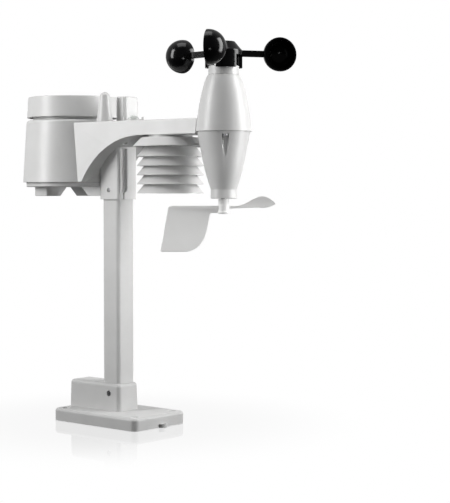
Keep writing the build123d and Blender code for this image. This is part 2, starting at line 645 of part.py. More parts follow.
with BuildPart() as gauge_base:
    with BuildSketch(about(GAUGE_X, COVER_BOTTOM)):
        Circle(COVER_R)
    extrude(amount=4.8)
    fillet(gauge_base.faces().sort_by(Axis.Z)[0].edges(), 1.2)
    with BuildSketch(about(GAUGE_X, COVER_BOTTOM + WALL)):
        Circle(COVER_R - WALL)
    extrude(amount=6.0, mode=Mode.SUBTRACT)
    # two drain feet with sloping inner sides
    for side in (-1, 1):
        with BuildSketch(across_plane(FEET_X_MIN, 0, 0)):
            with BuildLine():
                Polyline(
                    (side * FEET_Y_OUT, COVER_BOTTOM + 0.5),
                    (side * FEET_Y_OUT, FEET_BOTTOM),
                    (side * FEET_Y_IN_BOTTOM, FEET_BOTTOM),
                    (side * FEET_Y_IN_TOP, COVER_BOTTOM + 0.5),
                    close=True,
                )
            make_face()
        extrude(amount=FEET_X_MAX - FEET_X_MIN)
    fillet(gauge_base.faces().sort_by(Axis.Z)[:2].edges(), 0.8)
    # each foot is hollow from above and drains through its floor
    with BuildSketch(Plane.XY.offset(FEET_BOTTOM + 1.6)):
        with Locations((DRAIN_X, -DRAIN_Y + 1.0), (DRAIN_X, DRAIN_Y - 1.0)):
            Rectangle(FEET_X_MAX - FEET_X_MIN - 4.0, 10.5)
    extrude(amount=15.0, mode=Mode.SUBTRACT)
    with BuildSketch(Plane.XY.offset(FEET_BOTTOM - 1.0)):
        with GridLocations(6.0, 2 * (DRAIN_Y - 1.0), 2, 2):
            with Locations((DRAIN_X, 0)):
                SlotOverall(7.0, 2.4, rotation=90.0)
    extrude(amount=5.0, mode=Mode.SUBTRACT)
    # battery opening
    with BuildSketch(Plane.XY.offset(COVER_BOTTOM - 1.0)):
        with Locations(((DOOR_X_MIN + DOOR_X_MAX) / 2, 0)):
            RectangleRounded(DOOR_X_MAX - DOOR_X_MIN + 0.8, 2 * DOOR_HALF_WIDTH + 0.8, 3.4)
    extrude(amount=1.0 + WALL + 4.0, mode=Mode.SUBTRACT)
    # holes for the button, the light and the body's screws
    with BuildSketch(Plane.XY.offset(COVER_BOTTOM - 1.0)):
        with Locations(BUTTON_AT):
            Circle(3.2)
        with Locations(LED_AT):
            Circle(1.6)
    extrude(amount=4.0, mode=Mode.SUBTRACT)
    with BuildSketch(about(GAUGE_X, COVER_BOTTOM + WALL - 0.4)):
        with PolarLocations(GAUGE_SCREW_CIRCLE, 3, start_angle=GAUGE_SCREW_START):
            Circle(2.9)
    extrude(amount=3.9)
    with BuildSketch(about(GAUGE_X, COVER_BOTTOM - 1.0)):
        with PolarLocations(GAUGE_SCREW_CIRCLE, 3, start_angle=GAUGE_SCREW_START):
            Circle(1.5)
    extrude(amount=10.0, mode=Mode.SUBTRACT)
    with BuildSketch(about(GAUGE_X, COVER_BOTTOM - 1.0)):
        with PolarLocations(GAUGE_SCREW_CIRCLE, 3, start_angle=GAUGE_SCREW_START):
            Circle(2.6)
    extrude(amount=1.0 + 2.2, mode=Mode.SUBTRACT)
    # low posts that carry the main board
    with BuildSketch(Plane.XY.offset(COVER_BOTTOM + WALL - 0.4)):
        with Locations((-104.0, -14.0), (-104.0, 14.0), (-88.0, -20.0), (-88.0, 20.0)):
            Circle(2.0)
    extrude(amount=3.4)
save(gauge_base, "gauge_base")

with BuildPart() as gauge_screws:
    with BuildSketch(about(GAUGE_X, COVER_BOTTOM + 0.3)):
        with PolarLocations(GAUGE_SCREW_CIRCLE, 3, start_angle=GAUGE_SCREW_START):
            Circle(2.4)
    extrude(amount=1.8)
    with BuildSketch(about(GAUGE_X, COVER_BOTTOM + 2.1)):
        with PolarLocations(GAUGE_SCREW_CIRCLE, 3, start_angle=GAUGE_SCREW_START):
            Circle(1.15)
    extrude(amount=9.0)
    with BuildSketch(about(GAUGE_X, COVER_BOTTOM + 0.3)):
        with PolarLocations(GAUGE_SCREW_CIRCLE, 3, start_angle=GAUGE_SCREW_START):
            Rectangle(3.0, 0.6)
            Rectangle(0.6, 3.0)
    extrude(amount=0.9, mode=Mode.SUBTRACT)
save(gauge_screws, "gauge_screws")

with BuildPart() as battery_door:
    with BuildSketch(Plane.XY.offset(COVER_BOTTOM)):
        with Locations(((DOOR_X_MIN + DOOR_X_MAX) / 2, 0)):
            RectangleRounded(DOOR_X_MAX - DOOR_X_MIN, 2 * DOOR_HALF_WIDTH, 3.0)
    extrude(amount=WALL)
    chamfer(battery_door.faces().sort_by(Axis.Z)[0].edges(), 0.4)
    with BuildSketch(Plane.XY.offset(COVER_BOTTOM - 0.1)):
        with Locations((DOOR_X_MIN + 4.5, 0)):
            Circle(2.6)
    extrude(amount=1.1, mode=Mode.SUBTRACT)
    with BuildSketch(Plane.XY.offset(COVER_BOTTOM - 0.1)):
        with Locations((DOOR_X_MIN + 4.5, 0)):
            Circle(1.4)
    extrude(amount=5.0, mode=Mode.SUBTRACT)
    with BuildSketch(Plane.XY.offset(COVER_BOTTOM)):
        with Locations(*[(DOOR_X_MAX - 5.0 - 2.4 * i, 0) for i in range(3)]):
            SlotOverall(16.0, 1.0, rotation=90.0)
    extrude(amount=0.6, mode=Mode.SUBTRACT)
save(battery_door, "battery_door")

with BuildPart() as door_screw:
    with BuildSketch(Plane.XY.offset(COVER_BOTTOM + 0.0)):
        with Locations((DOOR_X_MIN + 4.5, 0)):
            Circle(2.4)
    extrude(amount=1.0)
    with BuildSketch(Plane.XY.offset(COVER_BOTTOM + 1.0)):
        with Locations((DOOR_X_MIN + 4.5, 0)):
            Circle(1.2)
    extrude(amount=1.7)
    with BuildSketch(Plane.XY.offset(COVER_BOTTOM)):
        with Locations((DOOR_X_MIN + 4.5, 0)):
            Rectangle(3.0, 0.6)
            Rectangle(0.6, 3.0)
    extrude(amount=0.5, mode=Mode.SUBTRACT)
save(door_screw, "door_screw")

with BuildPart() as door_gasket:
    with BuildSketch(Plane.XY.offset(COVER_BOTTOM + WALL)):
        with Locations(((DOOR_X_MIN + DOOR_X_MAX) / 2, 0)):
            RectangleRounded(DOOR_X_MAX - DOOR_X_MIN - 1.0, 2 * DOOR_HALF_WIDTH - 1.0, 2.5)
            RectangleRounded(
                DOOR_X_MAX - DOOR_X_MIN - 3.4, 2 * DOOR_HALF_WIDTH - 3.4, 1.4, mode=Mode.SUBTRACT
            )
    extrude(amount=0.6)
save(door_gasket, "door_gasket")

CELL_CENTRES = [CELL_X_MIDDLE + CELL_PITCH * i for i in (-1, 0, 1)]

with BuildPart() as battery_cells:
    for cell_x in CELL_CENTRES:
        with BuildSketch(side_plane(cell_x, CELL_LENGTH / 2 - 1.0, CELL_Z)):
            Circle(CELL_R)
        extrude(amount=CELL_LENGTH - 1.0)
        with BuildSketch(side_plane(cell_x, CELL_LENGTH / 2, CELL_Z)):
            Circle(2.7)
        extrude(amount=1.5)
save(battery_cells, "battery_cells")

with BuildPart() as battery_contacts:
    for end in (-1, 1):
        with BuildSketch(side_plane(0, end * (CELL_LENGTH / 2 + 0.8) + 0.25, 0)):
            with Locations(*[(x, CELL_Z) for x in CELL_CENTRES]):
                RectangleRounded(9.0, 10.0, 1.0)
        extrude(amount=0.5)
save(battery_contacts, "battery_contacts")

with BuildPart() as main_board:
    with BuildSketch(Plane.XY.offset(COVER_BOTTOM + WALL + 3.0)):
        with Locations((-96.0, 0)):
            RectangleRounded(22.0, 46.0, 1.5)
        with Locations((-106.0, -21.0), (-106.0, 21.0)):
            Rectangle(9.0, 6.0, mode=Mode.SUBTRACT)
    extrude(amount=1.4)
    with BuildSketch(Plane.XY.offset(COVER_BOTTOM + WALL + 4.4)):
        with Locations((-97.0, 0)):
            Rectangle(9.0, 9.0)
        with Locations((-93.0, -14.0), (-99.0, 15.0)):
            Rectangle(5.0, 7.0)
        with Locations((-104.0, 8.0)):
            Circle(2.5)
    extrude(amount=1.5)
save(main_board, "main_board")

with BuildPart() as reset_button:
    with BuildSketch(Plane.XY.offset(COVER_BOTTOM - 0.8)):
        with Locations(BUTTON_AT):
            Circle(2.8)
    extrude(amount=3.9)
    fillet(reset_button.faces().sort_by(Axis.Z)[0].edges(), 0.6)
save(reset_button, "reset_button")

with BuildPart() as led_lens:
    with BuildSketch(Plane.XY.offset(COVER_BOTTOM - 0.3)):
        with Locations(LED_AT):
            Circle(1.5)
    extrude(amount=4.0)
    fillet(led_lens.faces().sort_by(Axis.Z)[0].edges(), 0.7)
save(led_lens, "led_lens")

# tray under the bucket, with two uprights that hold its pin and two tubes down to the drain feet
UPRIGHT_Y = BUCKET_WIDTH / 2 + 1.4
STOP_X = 24.0
STOP_TOP = 275.0

with BuildPart() as bucket_cradle:
    with BuildSketch(about(GAUGE_X, TRAY_Z)):
        Circle(46.5)
    extrude(amount=TRAY_THICKNESS)
    with BuildSketch(about(GAUGE_X, TRAY_Z + TRAY_THICKNESS)):
        Circle(46.5)
        Circle(45.0, mode=Mode.SUBTRACT)
    extrude(amount=4.0)
    for side in (-1, 1):
        with BuildSketch(side_plane(GAUGE_X, side * (UPRIGHT_Y + 1.1) + 1.1, 0)):
            with BuildLine():
                Polyline(
                    (-9.0, TRAY_Z + 1.0),
                    (9.0, TRAY_Z + 1.0),
                    (4.0, BUCKET_PIVOT_Z + 1.0),
                )
                ThreePointArc(
                    (4.0, BUCKET_PIVOT_Z + 1.0),
                    (0, BUCKET_PIVOT_Z + 5.0),
                    (-4.0, BUCKET_PIVOT_Z + 1.0),
                )
                Line((-4.0, BUCKET_PIVOT_Z + 1.0), (-9.0, TRAY_Z + 1.0))
            make_face()
            with Locations((0, BUCKET_PIVOT_Z)):
                Circle(BUCKET_PIN_R + SHAFT_GAP, mode=Mode.SUBTRACT)
        extrude(amount=2.2)
    with BuildSketch(Plane.XY.offset(TRAY_Z + 1.0)):
        with Locations((GAUGE_X - STOP_X, 0), (GAUGE_X + STOP_X, 0)):
            Rectangle(3.0, 12.0)
    extrude(amount=STOP_TOP - TRAY_Z - 1.0)
    with BuildSketch(Plane.XY.offset(COVER_BOTTOM + WALL + 0.6)):
        with Locations((DRAIN_X, -DRAIN_Y), (DRAIN_X, DRAIN_Y)):
            Circle(DRAIN_R + 1.4)
    extrude(amount=TRAY_Z - COVER_BOTTOM - WALL)
    with BuildSketch(Plane.XY.offset(COVER_BOTTOM)):
        with Locations((DRAIN_X, -DRAIN_Y), (DRAIN_X, DRAIN_Y)):
            Circle(DRAIN_R)
    extrude(amount=30.0, mode=Mode.SUBTRACT)
save(bucket_cradle, "bucket_cradle")


def bucket_plane(y):
    """Upright plane at the bucket's pivot, turned to the bucket's rest tilt, local y up."""
    a = radians(BUCKET_REST_TILT)
    return Plane(origin=(GAUGE_X, y, BUCKET_PIVOT_Z), x_dir=(cos(a), 0, sin(a)), z_dir=(0, -1, 0))


BUCKET_HALF_LENGTH = 31.0
BUCKET_LIP = 9.0
BUCKET_KEEL = -5.0
BUCKET_CREST = 17.5
BUCKET_WALL = 1.4

with BuildPart() as tipping_bucket:
    with BuildSketch(bucket_plane(0)):
        with BuildLine():
            Polyline(
                (-BUCKET_HALF_LENGTH, BUCKET_LIP),
                (0, BUCKET_KEEL),
                (BUCKET_HALF_LENGTH, BUCKET_LIP),
                (0, BUCKET_CREST),
                close=True,
            )
        make_face()
    extrude(amount=BUCKET_WIDTH / 2, both=True)
    for side in (-1, 1):
        with BuildSketch(bucket_plane(0)):
            with BuildLine():
                Polyline(
                    (side * BUCKET_WALL / 2, BUCKET_KEEL + 2.0 + BUCKET_WALL),
                    (side * (BUCKET_HALF_LENGTH + 2.0), BUCKET_LIP + 2.6),
                    (side * BUCKET_WALL / 2, BUCKET_CREST + 8.0),
                    close=True,
                )
            make_face()
        extrude(amount=BUCKET_WIDTH / 2 - BUCKET_WALL, both=True, mode=Mode.SUBTRACT)
    with BuildSketch(bucket_plane(0)):
        Circle(BUCKET_PIN_R + 1.6)
    extrude(amount=BUCKET_WIDTH / 2, both=True)
    with BuildSketch(bucket_plane(0)):
        Circle(BUCKET_PIN_R)
    extrude(amount=BUCKET_WIDTH, both=True, mode=Mode.SUBTRACT)
    with BuildSketch(bucket_plane(-BUCKET_WIDTH / 2)):
        with Locations((0, 9.0)):
            Circle(1.7)
    extrude(amount=-BUCKET_WALL, mode=Mode.SUBTRACT)
save(tipping_bucket, "tipping_bucket")

with BuildPart() as bucket_pin:
    with BuildSketch(side_plane(GAUGE_X, 0, BUCKET_PIVOT_Z)):
        Circle(BUCKET_PIN_R)
    extrude(amount=UPRIGHT_Y + 3.2, both=True)
save(bucket_pin, "bucket_pin")

with BuildPart() as bucket_magnet:
    with BuildSketch(bucket_plane(-BUCKET_WIDTH / 2)):
        with Locations((0, 9.0)):
            Circle(1.7)
    extrude(amount=-BUCKET_WALL)
save(bucket_magnet, "bucket_magnet")

with BuildPart() as reed_switch:
    with BuildSketch(across_plane(GAUGE_X - 7.0, -UPRIGHT_Y - 5.4, 285.0)):
        Circle(1.1)
    extrude(amount=14.0)
    with BuildSketch(Plane.XY.offset(TRAY_Z + TRAY_THICKNESS)):
        with Locations((GAUGE_X, -UPRIGHT_Y - 5.4)):
            Rectangle(16.0, 1.6)
    extrude(amount=284.4 - TRAY_Z - TRAY_THICKNESS)
save(reed_switch, "reed_switch")

FUNNEL_TOP = 331.0
FUNNEL_FOOT = 310.0
SPOUT_R = 2.6
SPOUT_BOTTOM = 300.5
SKIRT_R = GAUGE_MOUTH_R - 0.5
SKIRT_BOTTOM = 311.0

with BuildPart() as rain_collector:
    with BuildSketch(side_plane(GAUGE_X)):
        with BuildLine():
            Polyline(
                (RING_R_BOTTOM - 0.5, RING_BOTTOM),
                (RING_R_BOTTOM, RING_BOTTOM + 0.5),
                (RING_R_TOP, RING_TOP - 0.9),
            )
            ThreePointArc(
                (RING_R_TOP, RING_TOP - 0.9),
                (RING_R_TOP - 0.8, RING_TOP),
                (RING_R_TOP - 1.6, RING_TOP - 0.9),
            )
            Polyline(
                (RING_R_TOP - 1.6, RING_TOP - 0.9),
                (RING_R_TOP - 1.6, FUNNEL_TOP),
                (SPOUT_R, FUNNEL_FOOT),
                (SPOUT_R, SPOUT_BOTTOM),
                (SPOUT_R + 1.6, SPOUT_BOTTOM),
                (SPOUT_R + 2.2, FUNNEL_FOOT - 1.2),
                (SKIRT_R - 1.9, 326.2),
                (SKIRT_R - 1.9, SKIRT_BOTTOM),
                (SKIRT_R, SKIRT_BOTTOM),
                (SKIRT_R, 327.0),
                (RING_R_BOTTOM - 2.0, 329.0),
                (RING_R_BOTTOM - 2.0, RING_BOTTOM),
                (RING_R_BOTTOM - 0.5, RING_BOTTOM),
            )
        make_face()
    revolve(axis=GAUGE_AXIS)
save(rain_collector, "rain_collector")

# ---------------------------------------------------------------- radiation shield

SHIELD_AXIS = Axis((SHIELD_X, 0, 0), (0, 0, 1))

with BuildPart() as shield_cap:
    with BuildSketch(side_plane(SHIELD_X)):
        with BuildLine():
            Polyline(
                (0, ARM_UNDERSIDE),
                (SHIELD_NECK_R, ARM_UNDERSIDE),
                (SHIELD_NECK_R, SHIELD_CAP_TOP),
                (29.6, SHIELD_CAP_TOP),
                (SHIELD_CAP_R, SHIELD_CAP_BOTTOM + 0.8),
                (SHIELD_CAP_R, SHIELD_CAP_BOTTOM),
                (SHIELD_CAP_R - 2.2, SHIELD_CAP_BOTTOM),
                (29.0, SHIELD_CAP_TOP - 1.8),
                (0, SHIELD_CAP_TOP - 1.8),
                close=True,
            )
        make_face()
    revolve(axis=SHIELD_AXIS)
    with BuildSketch(about(SHIELD_X, 280.0)):
        with PolarLocations(SHIELD_POST_CIRCLE, 3, start_angle=SHIELD_POST_START):
            Circle(SHIELD_POST_R + 0.1)
    extrude(amount=SHIELD_CAP_TOP + 0.4 - 280.0, mode=Mode.SUBTRACT)
    with BuildSketch(about(SHIELD_X, 280.0)):
        with PolarLocations(SHIELD_POST_CIRCLE, 3, start_angle=SHIELD_POST_START):
            Circle(1.3)
    extrude(amount=30.0, mode=Mode.SUBTRACT)
save(shield_cap, "shield_cap")

for plate_number in range(SHIELD_PLATES):
    rim_z = SHIELD_TOP_RIM - plate_number * SHIELD_PITCH
    top_z = rim_z + SHIELD_CONE_HEIGHT
    if plate_number == 0:
        seat_z = SHIELD_CAP_TOP - 1.8
    else:
        seat_z = top_z + SHIELD_PITCH - SHIELD_WALL
    with BuildPart() as shield_plate:
        with BuildSketch(side_plane(SHIELD_X)):
            with BuildLine():
                Polyline(
                    (SHIELD_R, rim_z),
                    (SHIELD_R, rim_z + 0.7),
                    (SHIELD_R - SHIELD_CONE_INSET, top_z),
                    (SHIELD_INNER_R, top_z),
                    (SHIELD_INNER_R, top_z - SHIELD_WALL),
                    (SHIELD_R - SHIELD_CONE_INSET - 0.9, top_z - SHIELD_WALL),
                    (SHIELD_R - 1.7, rim_z),
                    close=True,
                )
            make_face()
        revolve(axis=SHIELD_AXIS)
        # short spacers up to the plate above
        with BuildSketch(about(SHIELD_X, top_z - 0.2)):
            with PolarLocations(SHIELD_POST_CIRCLE, 3, start_angle=SHIELD_POST_START):
                Circle(SHIELD_POST_R + 1.4)
        extrude(amount=seat_z - top_z + 0.2)
        with BuildSketch(about(SHIELD_X, rim_z - 2.0)):
            with PolarLocations(SHIELD_POST_CIRCLE, 3, start_angle=SHIELD_POST_START):
                Circle(SHIELD_POST_R + 0.1)
        extrude(amount=25.0, mode=Mode.SUBTRACT)
    save(shield_plate, f"shield_plate_{plate_number + 1}")

SHIELD_FLOOR = SHIELD_TOP_RIM - (SHIELD_PLATES - 1) * SHIELD_PITCH

with BuildPart() as shield_posts:
    with BuildSketch(about(SHIELD_X, SHIELD_FLOOR + 3.0)):
        with PolarLocations(SHIELD_POST_CIRCLE, 3, start_angle=SHIELD_POST_START):
            Circle(SHIELD_POST_R)
            Circle(1.35, mode=Mode.SUBTRACT)
    extrude(amount=SHIELD_CAP_TOP - SHIELD_FLOOR - 3.0)
    with BuildSketch(about(SHIELD_X, SHIELD_FLOOR + 3.0)):
        with PolarLocations(SHIELD_POST_CIRCLE, 3, start_angle=SHIELD_POST_START):
            Circle(SHIELD_POST_R + 1.4)
            Circle(1.35, mode=Mode.SUBTRACT)
    extrude(amount=2.4)
save(shield_posts, "shield_posts")

with BuildPart() as shield_screws:
    with BuildSketch(about(SHIELD_X, SHIELD_FLOOR + 1.2)):
        with PolarLocations(SHIELD_POST_CIRCLE, 3, start_angle=SHIELD_POST_START):
            Circle(2.5)
    extrude(amount=1.8)
    with BuildSketch(about(SHIELD_X, SHIELD_FLOOR + 3.0)):
        with PolarLocations(SHIELD_POST_CIRCLE, 3, start_angle=SHIELD_POST_START):
            Circle(1.2)
    extrude(amount=ARM_UNDERSIDE + 4.0 - SHIELD_FLOOR - 3.0)
    with BuildSketch(about(SHIELD_X, SHIELD_FLOOR + 1.2)):
        with PolarLocations(SHIELD_POST_CIRCLE, 3, start_angle=SHIELD_POST_START):
            Rectangle(3.0, 0.6)
            Rectangle(0.6, 3.0)
    extrude(amount=0.9, mode=Mode.SUBTRACT)
save(shield_screws, "shield_screws")

with BuildPart() as sensor_board:
    with BuildSketch(about(SHIELD_X, 252.0)):
        Rectangle(14.0, 1.4)
    extrude(amount=SHIELD_CAP_TOP - 1.8 - 252.0)
    with BuildSketch(about(SHIELD_X, 256.0)):
        with Locations((0, -1.4)):
            Rectangle(6.0, 1.6)
    extrude(amount=7.0)
save(sensor_board, "sensor_board")

# ---------------------------------------------------------------- wind head

HEAD_AXIS = Axis((HEAD_X, 0, 0), (0, 0, 1))
BOSS_TUBE_R = 7.4
VANE_BUSH_R = 5.5
ROTOR_TUBE_BOTTOM = 336.0
VANE_TUBE_TOP = 258.0
BUSH_HEIGHT = 6.0


def upper_outline(inset):
    """Points of the upper shell's cone, from the seam up to the collar's groove."""
    return [
        (HEAD_SEAM_R - inset, HEAD_SEAM),
        (25.2 - inset, 319.3),
        (23.1 - inset, 331.0),
        (19.5 - inset, 345.8),
        (17.6 - inset, 351.0),
        (16.0 - inset, 354.6),
    ]


def lower_outline(inset):
    """Points of the lower shell's cone, from the seam down to its neck."""
    return [
        (HEAD_LOWER_R - inset, HEAD_SEAM - SEAM_GAP),
        (24.6 - inset, 292.4),
        (23.0 - inset, 285.0),
        (19.0 - inset, 264.4),
        (14.3 - inset, 248.4),
        (HEAD_BOTTOM_R - inset, HEAD_NECK_TOP),
    ]


def head_point(radius, azimuth, z):
    """Horizontal plane at a point around the wind head's axis."""
    a = radians(azimuth)
    return Plane(origin=(HEAD_X + radius * cos(a), radius * sin(a), z))


with BuildPart() as head_upper_shell:
    with BuildSketch(side_plane(HEAD_X)):
        with BuildLine():
            Spline(*upper_outline(0))
            Polyline(
                (16.0, 354.6),
                (15.6, COLLAR_BOTTOM - 0.6),
                (COLLAR_R - 0.5, COLLAR_BOTTOM - 0.6),
                (COLLAR_R - 0.5, COLLAR_BOTTOM),
                (COLLAR_R, COLLAR_BOTTOM),
                (COLLAR_R, COLLAR_TOP - 0.6),
                (COLLAR_R - 0.6, COLLAR_TOP),
                (BUSH_R, COLLAR_TOP),
                (BUSH_R, ROTOR_TUBE_BOTTOM),
                (BOSS_TUBE_R, ROTOR_TUBE_BOTTOM),
                (BOSS_TUBE_R, COLLAR_TOP - WALL),
                (COLLAR_R - WALL, COLLAR_TOP - WALL),
                (COLLAR_R - WALL, 351.0),
                (17.6 - WALL, 351.0),
            )
            Spline((17.6 - WALL, 351.0), (23.1 - WALL, 331.0), (HEAD_SEAM_R - WALL, HEAD_SEAM))
            Line((HEAD_SEAM_R - WALL, HEAD_SEAM), (HEAD_SEAM_R, HEAD_SEAM))
        make_face()
    revolve(axis=HEAD_AXIS)
    # window for the arm's tongue
    with BuildSketch(across_plane(HEAD_X - HEAD_SEAM_R - 2.0, TONGUE_Y, TONGUE_Z)):
        Rectangle(TONGUE_WIDTH + 0.4, TONGUE_HEIGHT + 0.4)
    extrude(amount=9.0, mode=Mode.SUBTRACT)
    # pillars for the screws that come up through the lower shell
    for azimuth in HEAD_SCREW_AZIMUTHS:
        with BuildSketch(head_point(HEAD_SCREW_CIRCLE - 0.5, azimuth, HEAD_SEAM + 0.3)):
            Circle(2.6)
        extrude(amount=9.0)
        with BuildSketch(head_point(HEAD_SCREW_CIRCLE, azimuth, HEAD_SEAM)):
            Circle(1.1)
        extrude(amount=8.6, mode=Mode.SUBTRACT)
save(head_upper_shell, "head_upper_shell")

with BuildPart() as recess_walls:
    for azimuth in HEAD_SCREW_AZIMUTHS:
        with BuildSketch(head_point(HEAD_SCREW_CIRCLE, azimuth, HEAD_RECESS_BOTTOM + 6.0)):
            Circle(HEAD_RECESS_R + HEAD_RECESS_WALL)
        extrude(amount=HEAD_SEAM - SEAM_GAP - HEAD_RECESS_BOTTOM - 6.0)
    with BuildSketch(side_plane(HEAD_X)):
        with BuildLine():
            Spline(*lower_outline(0))
            Polyline(
                (HEAD_BOTTOM_R, HEAD_NECK_TOP),
                (0, HEAD_NECK_TOP),
                (0, HEAD_SEAM - SEAM_GAP),
                (HEAD_LOWER_R, HEAD_SEAM - SEAM_GAP),
            )
        make_face()
    revolve(axis=HEAD_AXIS, mode=Mode.INTERSECT)

with BuildPart() as head_lower_shell:
    with BuildSketch(side_plane(HEAD_X)):
        with BuildLine():
            Spline(*lower_outline(0))
            Polyline(
                (HEAD_BOTTOM_R, HEAD_NECK_TOP),
                (HEAD_BOTTOM_R, HEAD_BOTTOM + 0.6),
                (HEAD_BOTTOM_R - 0.6, HEAD_BOTTOM),
                (VANE_BUSH_R, HEAD_BOTTOM),
                (VANE_BUSH_R, VANE_TUBE_TOP),
                (VANE_BUSH_R + 2.4, VANE_TUBE_TOP),
                (VANE_BUSH_R + 2.4, HEAD_BOTTOM + WALL),
                (HEAD_BOTTOM_R - WALL, HEAD_BOTTOM + WALL),
                (HEAD_BOTTOM_R - WALL, HEAD_NECK_TOP),
            )
            Spline(*reversed(lower_outline(WALL)))
            Line((HEAD_LOWER_R - WALL, HEAD_SEAM - SEAM_GAP), (HEAD_LOWER_R, HEAD_SEAM - SEAM_GAP))
        make_face()
    revolve(axis=HEAD_AXIS)
    add(recess_walls.part)
    # open-sided recesses for the screw heads, and the screws' holes
    for azimuth in HEAD_SCREW_AZIMUTHS:
        with BuildSketch(head_point(HEAD_RECESS_CIRCLE, azimuth, HEAD_RECESS_BOTTOM)):
            Circle(HEAD_RECESS_R)
        extrude(amount=HEAD_SEAM - HEAD_RECESS_DROP - HEAD_RECESS_BOTTOM, mode=Mode.SUBTRACT)
        with BuildSketch(head_point(HEAD_SCREW_CIRCLE, azimuth, 290.0)):
            Circle(1.3)
        extrude(amount=20.0, mode=Mode.SUBTRACT)
save(head_lower_shell, "head_lower_shell")

with BuildPart() as head_screws:
    for azimuth in HEAD_SCREW_AZIMUTHS:
        with BuildSketch(head_point(HEAD_SCREW_CIRCLE, azimuth, HEAD_SEAM - HEAD_SCREW_SEAT - 1.7)):
            Circle(2.0)
        extrude(amount=1.7)
        with BuildSketch(head_point(HEAD_SCREW_CIRCLE, azimuth, HEAD_SEAM - HEAD_SCREW_SEAT)):
            Circle(1.0)
        extrude(amount=HEAD_SCREW_SEAT + 7.5)
        with BuildSketch(head_point(HEAD_SCREW_CIRCLE, azimuth, HEAD_SEAM - HEAD_SCREW_SEAT - 1.7)):
            Rectangle(2.4, 0.5)
            Rectangle(0.5, 2.4)
        extrude(amount=0.8, mode=Mode.SUBTRACT)
save(head_screws, "head_screws")

with BuildPart() as wind_board:
    with BuildSketch(about(HEAD_X, 315.0)):
        Circle(16.5)
    extrude(amount=1.4)
    with BuildSketch(about(HEAD_X, 316.4)):
        with Locations((9.0, 0), (-9.0, 4.0)):
            Rectangle(3.0, 4.0)
    extrude(amount=1.2)
    with BuildSketch(about(HEAD_X, 313.8)):
        with Locations((7.0, 0), (0, 7.0), (-7.0, 0), (0, -7.0)):
            Rectangle(2.6, 2.6)
    extrude(amount=1.2)
save(wind_board, "wind_board")

with BuildPart() as rotor_bearings:
    for bush_z in (ROTOR_TUBE_BOTTOM, COLLAR_TOP - BUSH_HEIGHT):
        with BuildSketch(about(HEAD_X, bush_z)):
            Circle(BUSH_R)
            Circle(SHAFT_R + SHAFT_GAP, mode=Mode.SUBTRACT)
        extrude(amount=BUSH_HEIGHT)
save(rotor_bearings, "rotor_bearings")

with BuildPart() as rotor_shaft:
    with BuildSketch(about(HEAD_X, 324.0)):
        Circle(SHAFT_R)
    extrude(amount=382.0 - 324.0)
    chamfer(rotor_shaft.edges().group_by(Axis.Z)[0], 0.3)
save(rotor_shaft, "rotor_shaft")

with BuildPart() as rotor_magnet:
    with BuildSketch(about(HEAD_X, 325.0)):
        Circle(8.5)
        Circle(SHAFT_R, mode=Mode.SUBTRACT)
    extrude(amount=5.0)
save(rotor_magnet, "rotor_magnet")


def cup_arm_plane(azimuth, radius):
    """Upright plane across a cup arm at a radius, with its normal pointing outwards and y up."""
    a = radians(azimuth)
    return Plane(
        origin=(HEAD_X + radius * cos(a), radius * sin(a), CUP_Z),
        x_dir=(-sin(a), cos(a), 0),
        z_dir=(cos(a), sin(a), 0),
    )


with BuildPart() as rotor_hub:
    with BuildSketch(side_plane(HEAD_X)):
        with BuildLine():
            Polyline(
                (SHAFT_R, HUB_CEILING - 8.0),
                (SHAFT_R, 382.0),
                (0, 382.0),
                (0, HUB_TOP),
                (10.8, HUB_TOP),
                (16.4, 380.9),
                (HUB_SKIRT_R - 0.3, 379.2),
                (HUB_SKIRT_R, 378.0),
                (HUB_SKIRT_R, HUB_SKIRT_BOTTOM),
                (HUB_SKIRT_INNER_R, HUB_SKIRT_BOTTOM),
                (HUB_SKIRT_INNER_R, HUB_CEILING),
                (5.0, HUB_CEILING),
                (5.0, HUB_CEILING - 8.0),
                close=True,
            )
        make_face()
    revolve(axis=HEAD_AXIS)
    # gaps between the three tabs of the skirt
    for azimuth in CUP_AZIMUTHS:
        start = radians(azimuth + HUB_TAB_END)
        end = radians(azimuth + HUB_TAB_END + 120.0 - HUB_TAB_ANGLE)
        middle = (start + end) / 2
        with BuildSketch(about(HEAD_X, HUB_SKIRT_BOTTOM)):
            with BuildLine():
                Polyline(
                    (0, 0),
                    (30 * cos(start), 30 * sin(start)),
                    (36 * cos(middle), 36 * sin(middle)),
                    (30 * cos(end), 30 * sin(end)),
                    close=True,
                )
            make_face()
            Circle(HUB_SKIRT_INNER_R - 1.0, mode=Mode.SUBTRACT)
        extrude(amount=HUB_CEILING - HUB_SKIRT_BOTTOM, mode=Mode.SUBTRACT)
    # slots for the roots of the cup arms
    for azimuth in CUP_AZIMUTHS:
        with BuildSketch(cup_arm_plane(azimuth, CUP_ROOT)):
            with Locations((CUP_ARM_OFFSET, 0)):
                Rectangle(CUP_ARM_THICKNESS + 0.1, CUP_ARM_HEIGHT + 0.1)
        extrude(amount=15.0, mode=Mode.SUBTRACT)
    # seat for the centre cap
    with BuildSketch(about(HEAD_X, HUB_TOP - 2.0)):
        Circle(1.6)
    extrude(amount=5.0, mode=Mode.SUBTRACT)
save(rotor_hub, "rotor_hub")

with BuildPart() as rotor_cap:
    with BuildSketch(about(HEAD_X, HUB_TOP - 1.8)):
        Circle(1.6)
    extrude(amount=1.8)
    with BuildSketch(about(HEAD_X, HUB_TOP)):
        Circle(3.2)
    extrude(amount=1.0)
    fillet(rotor_cap.faces().sort_by(Axis.Z)[-1].edges(), 0.5)
save(rotor_cap, "rotor_cap")

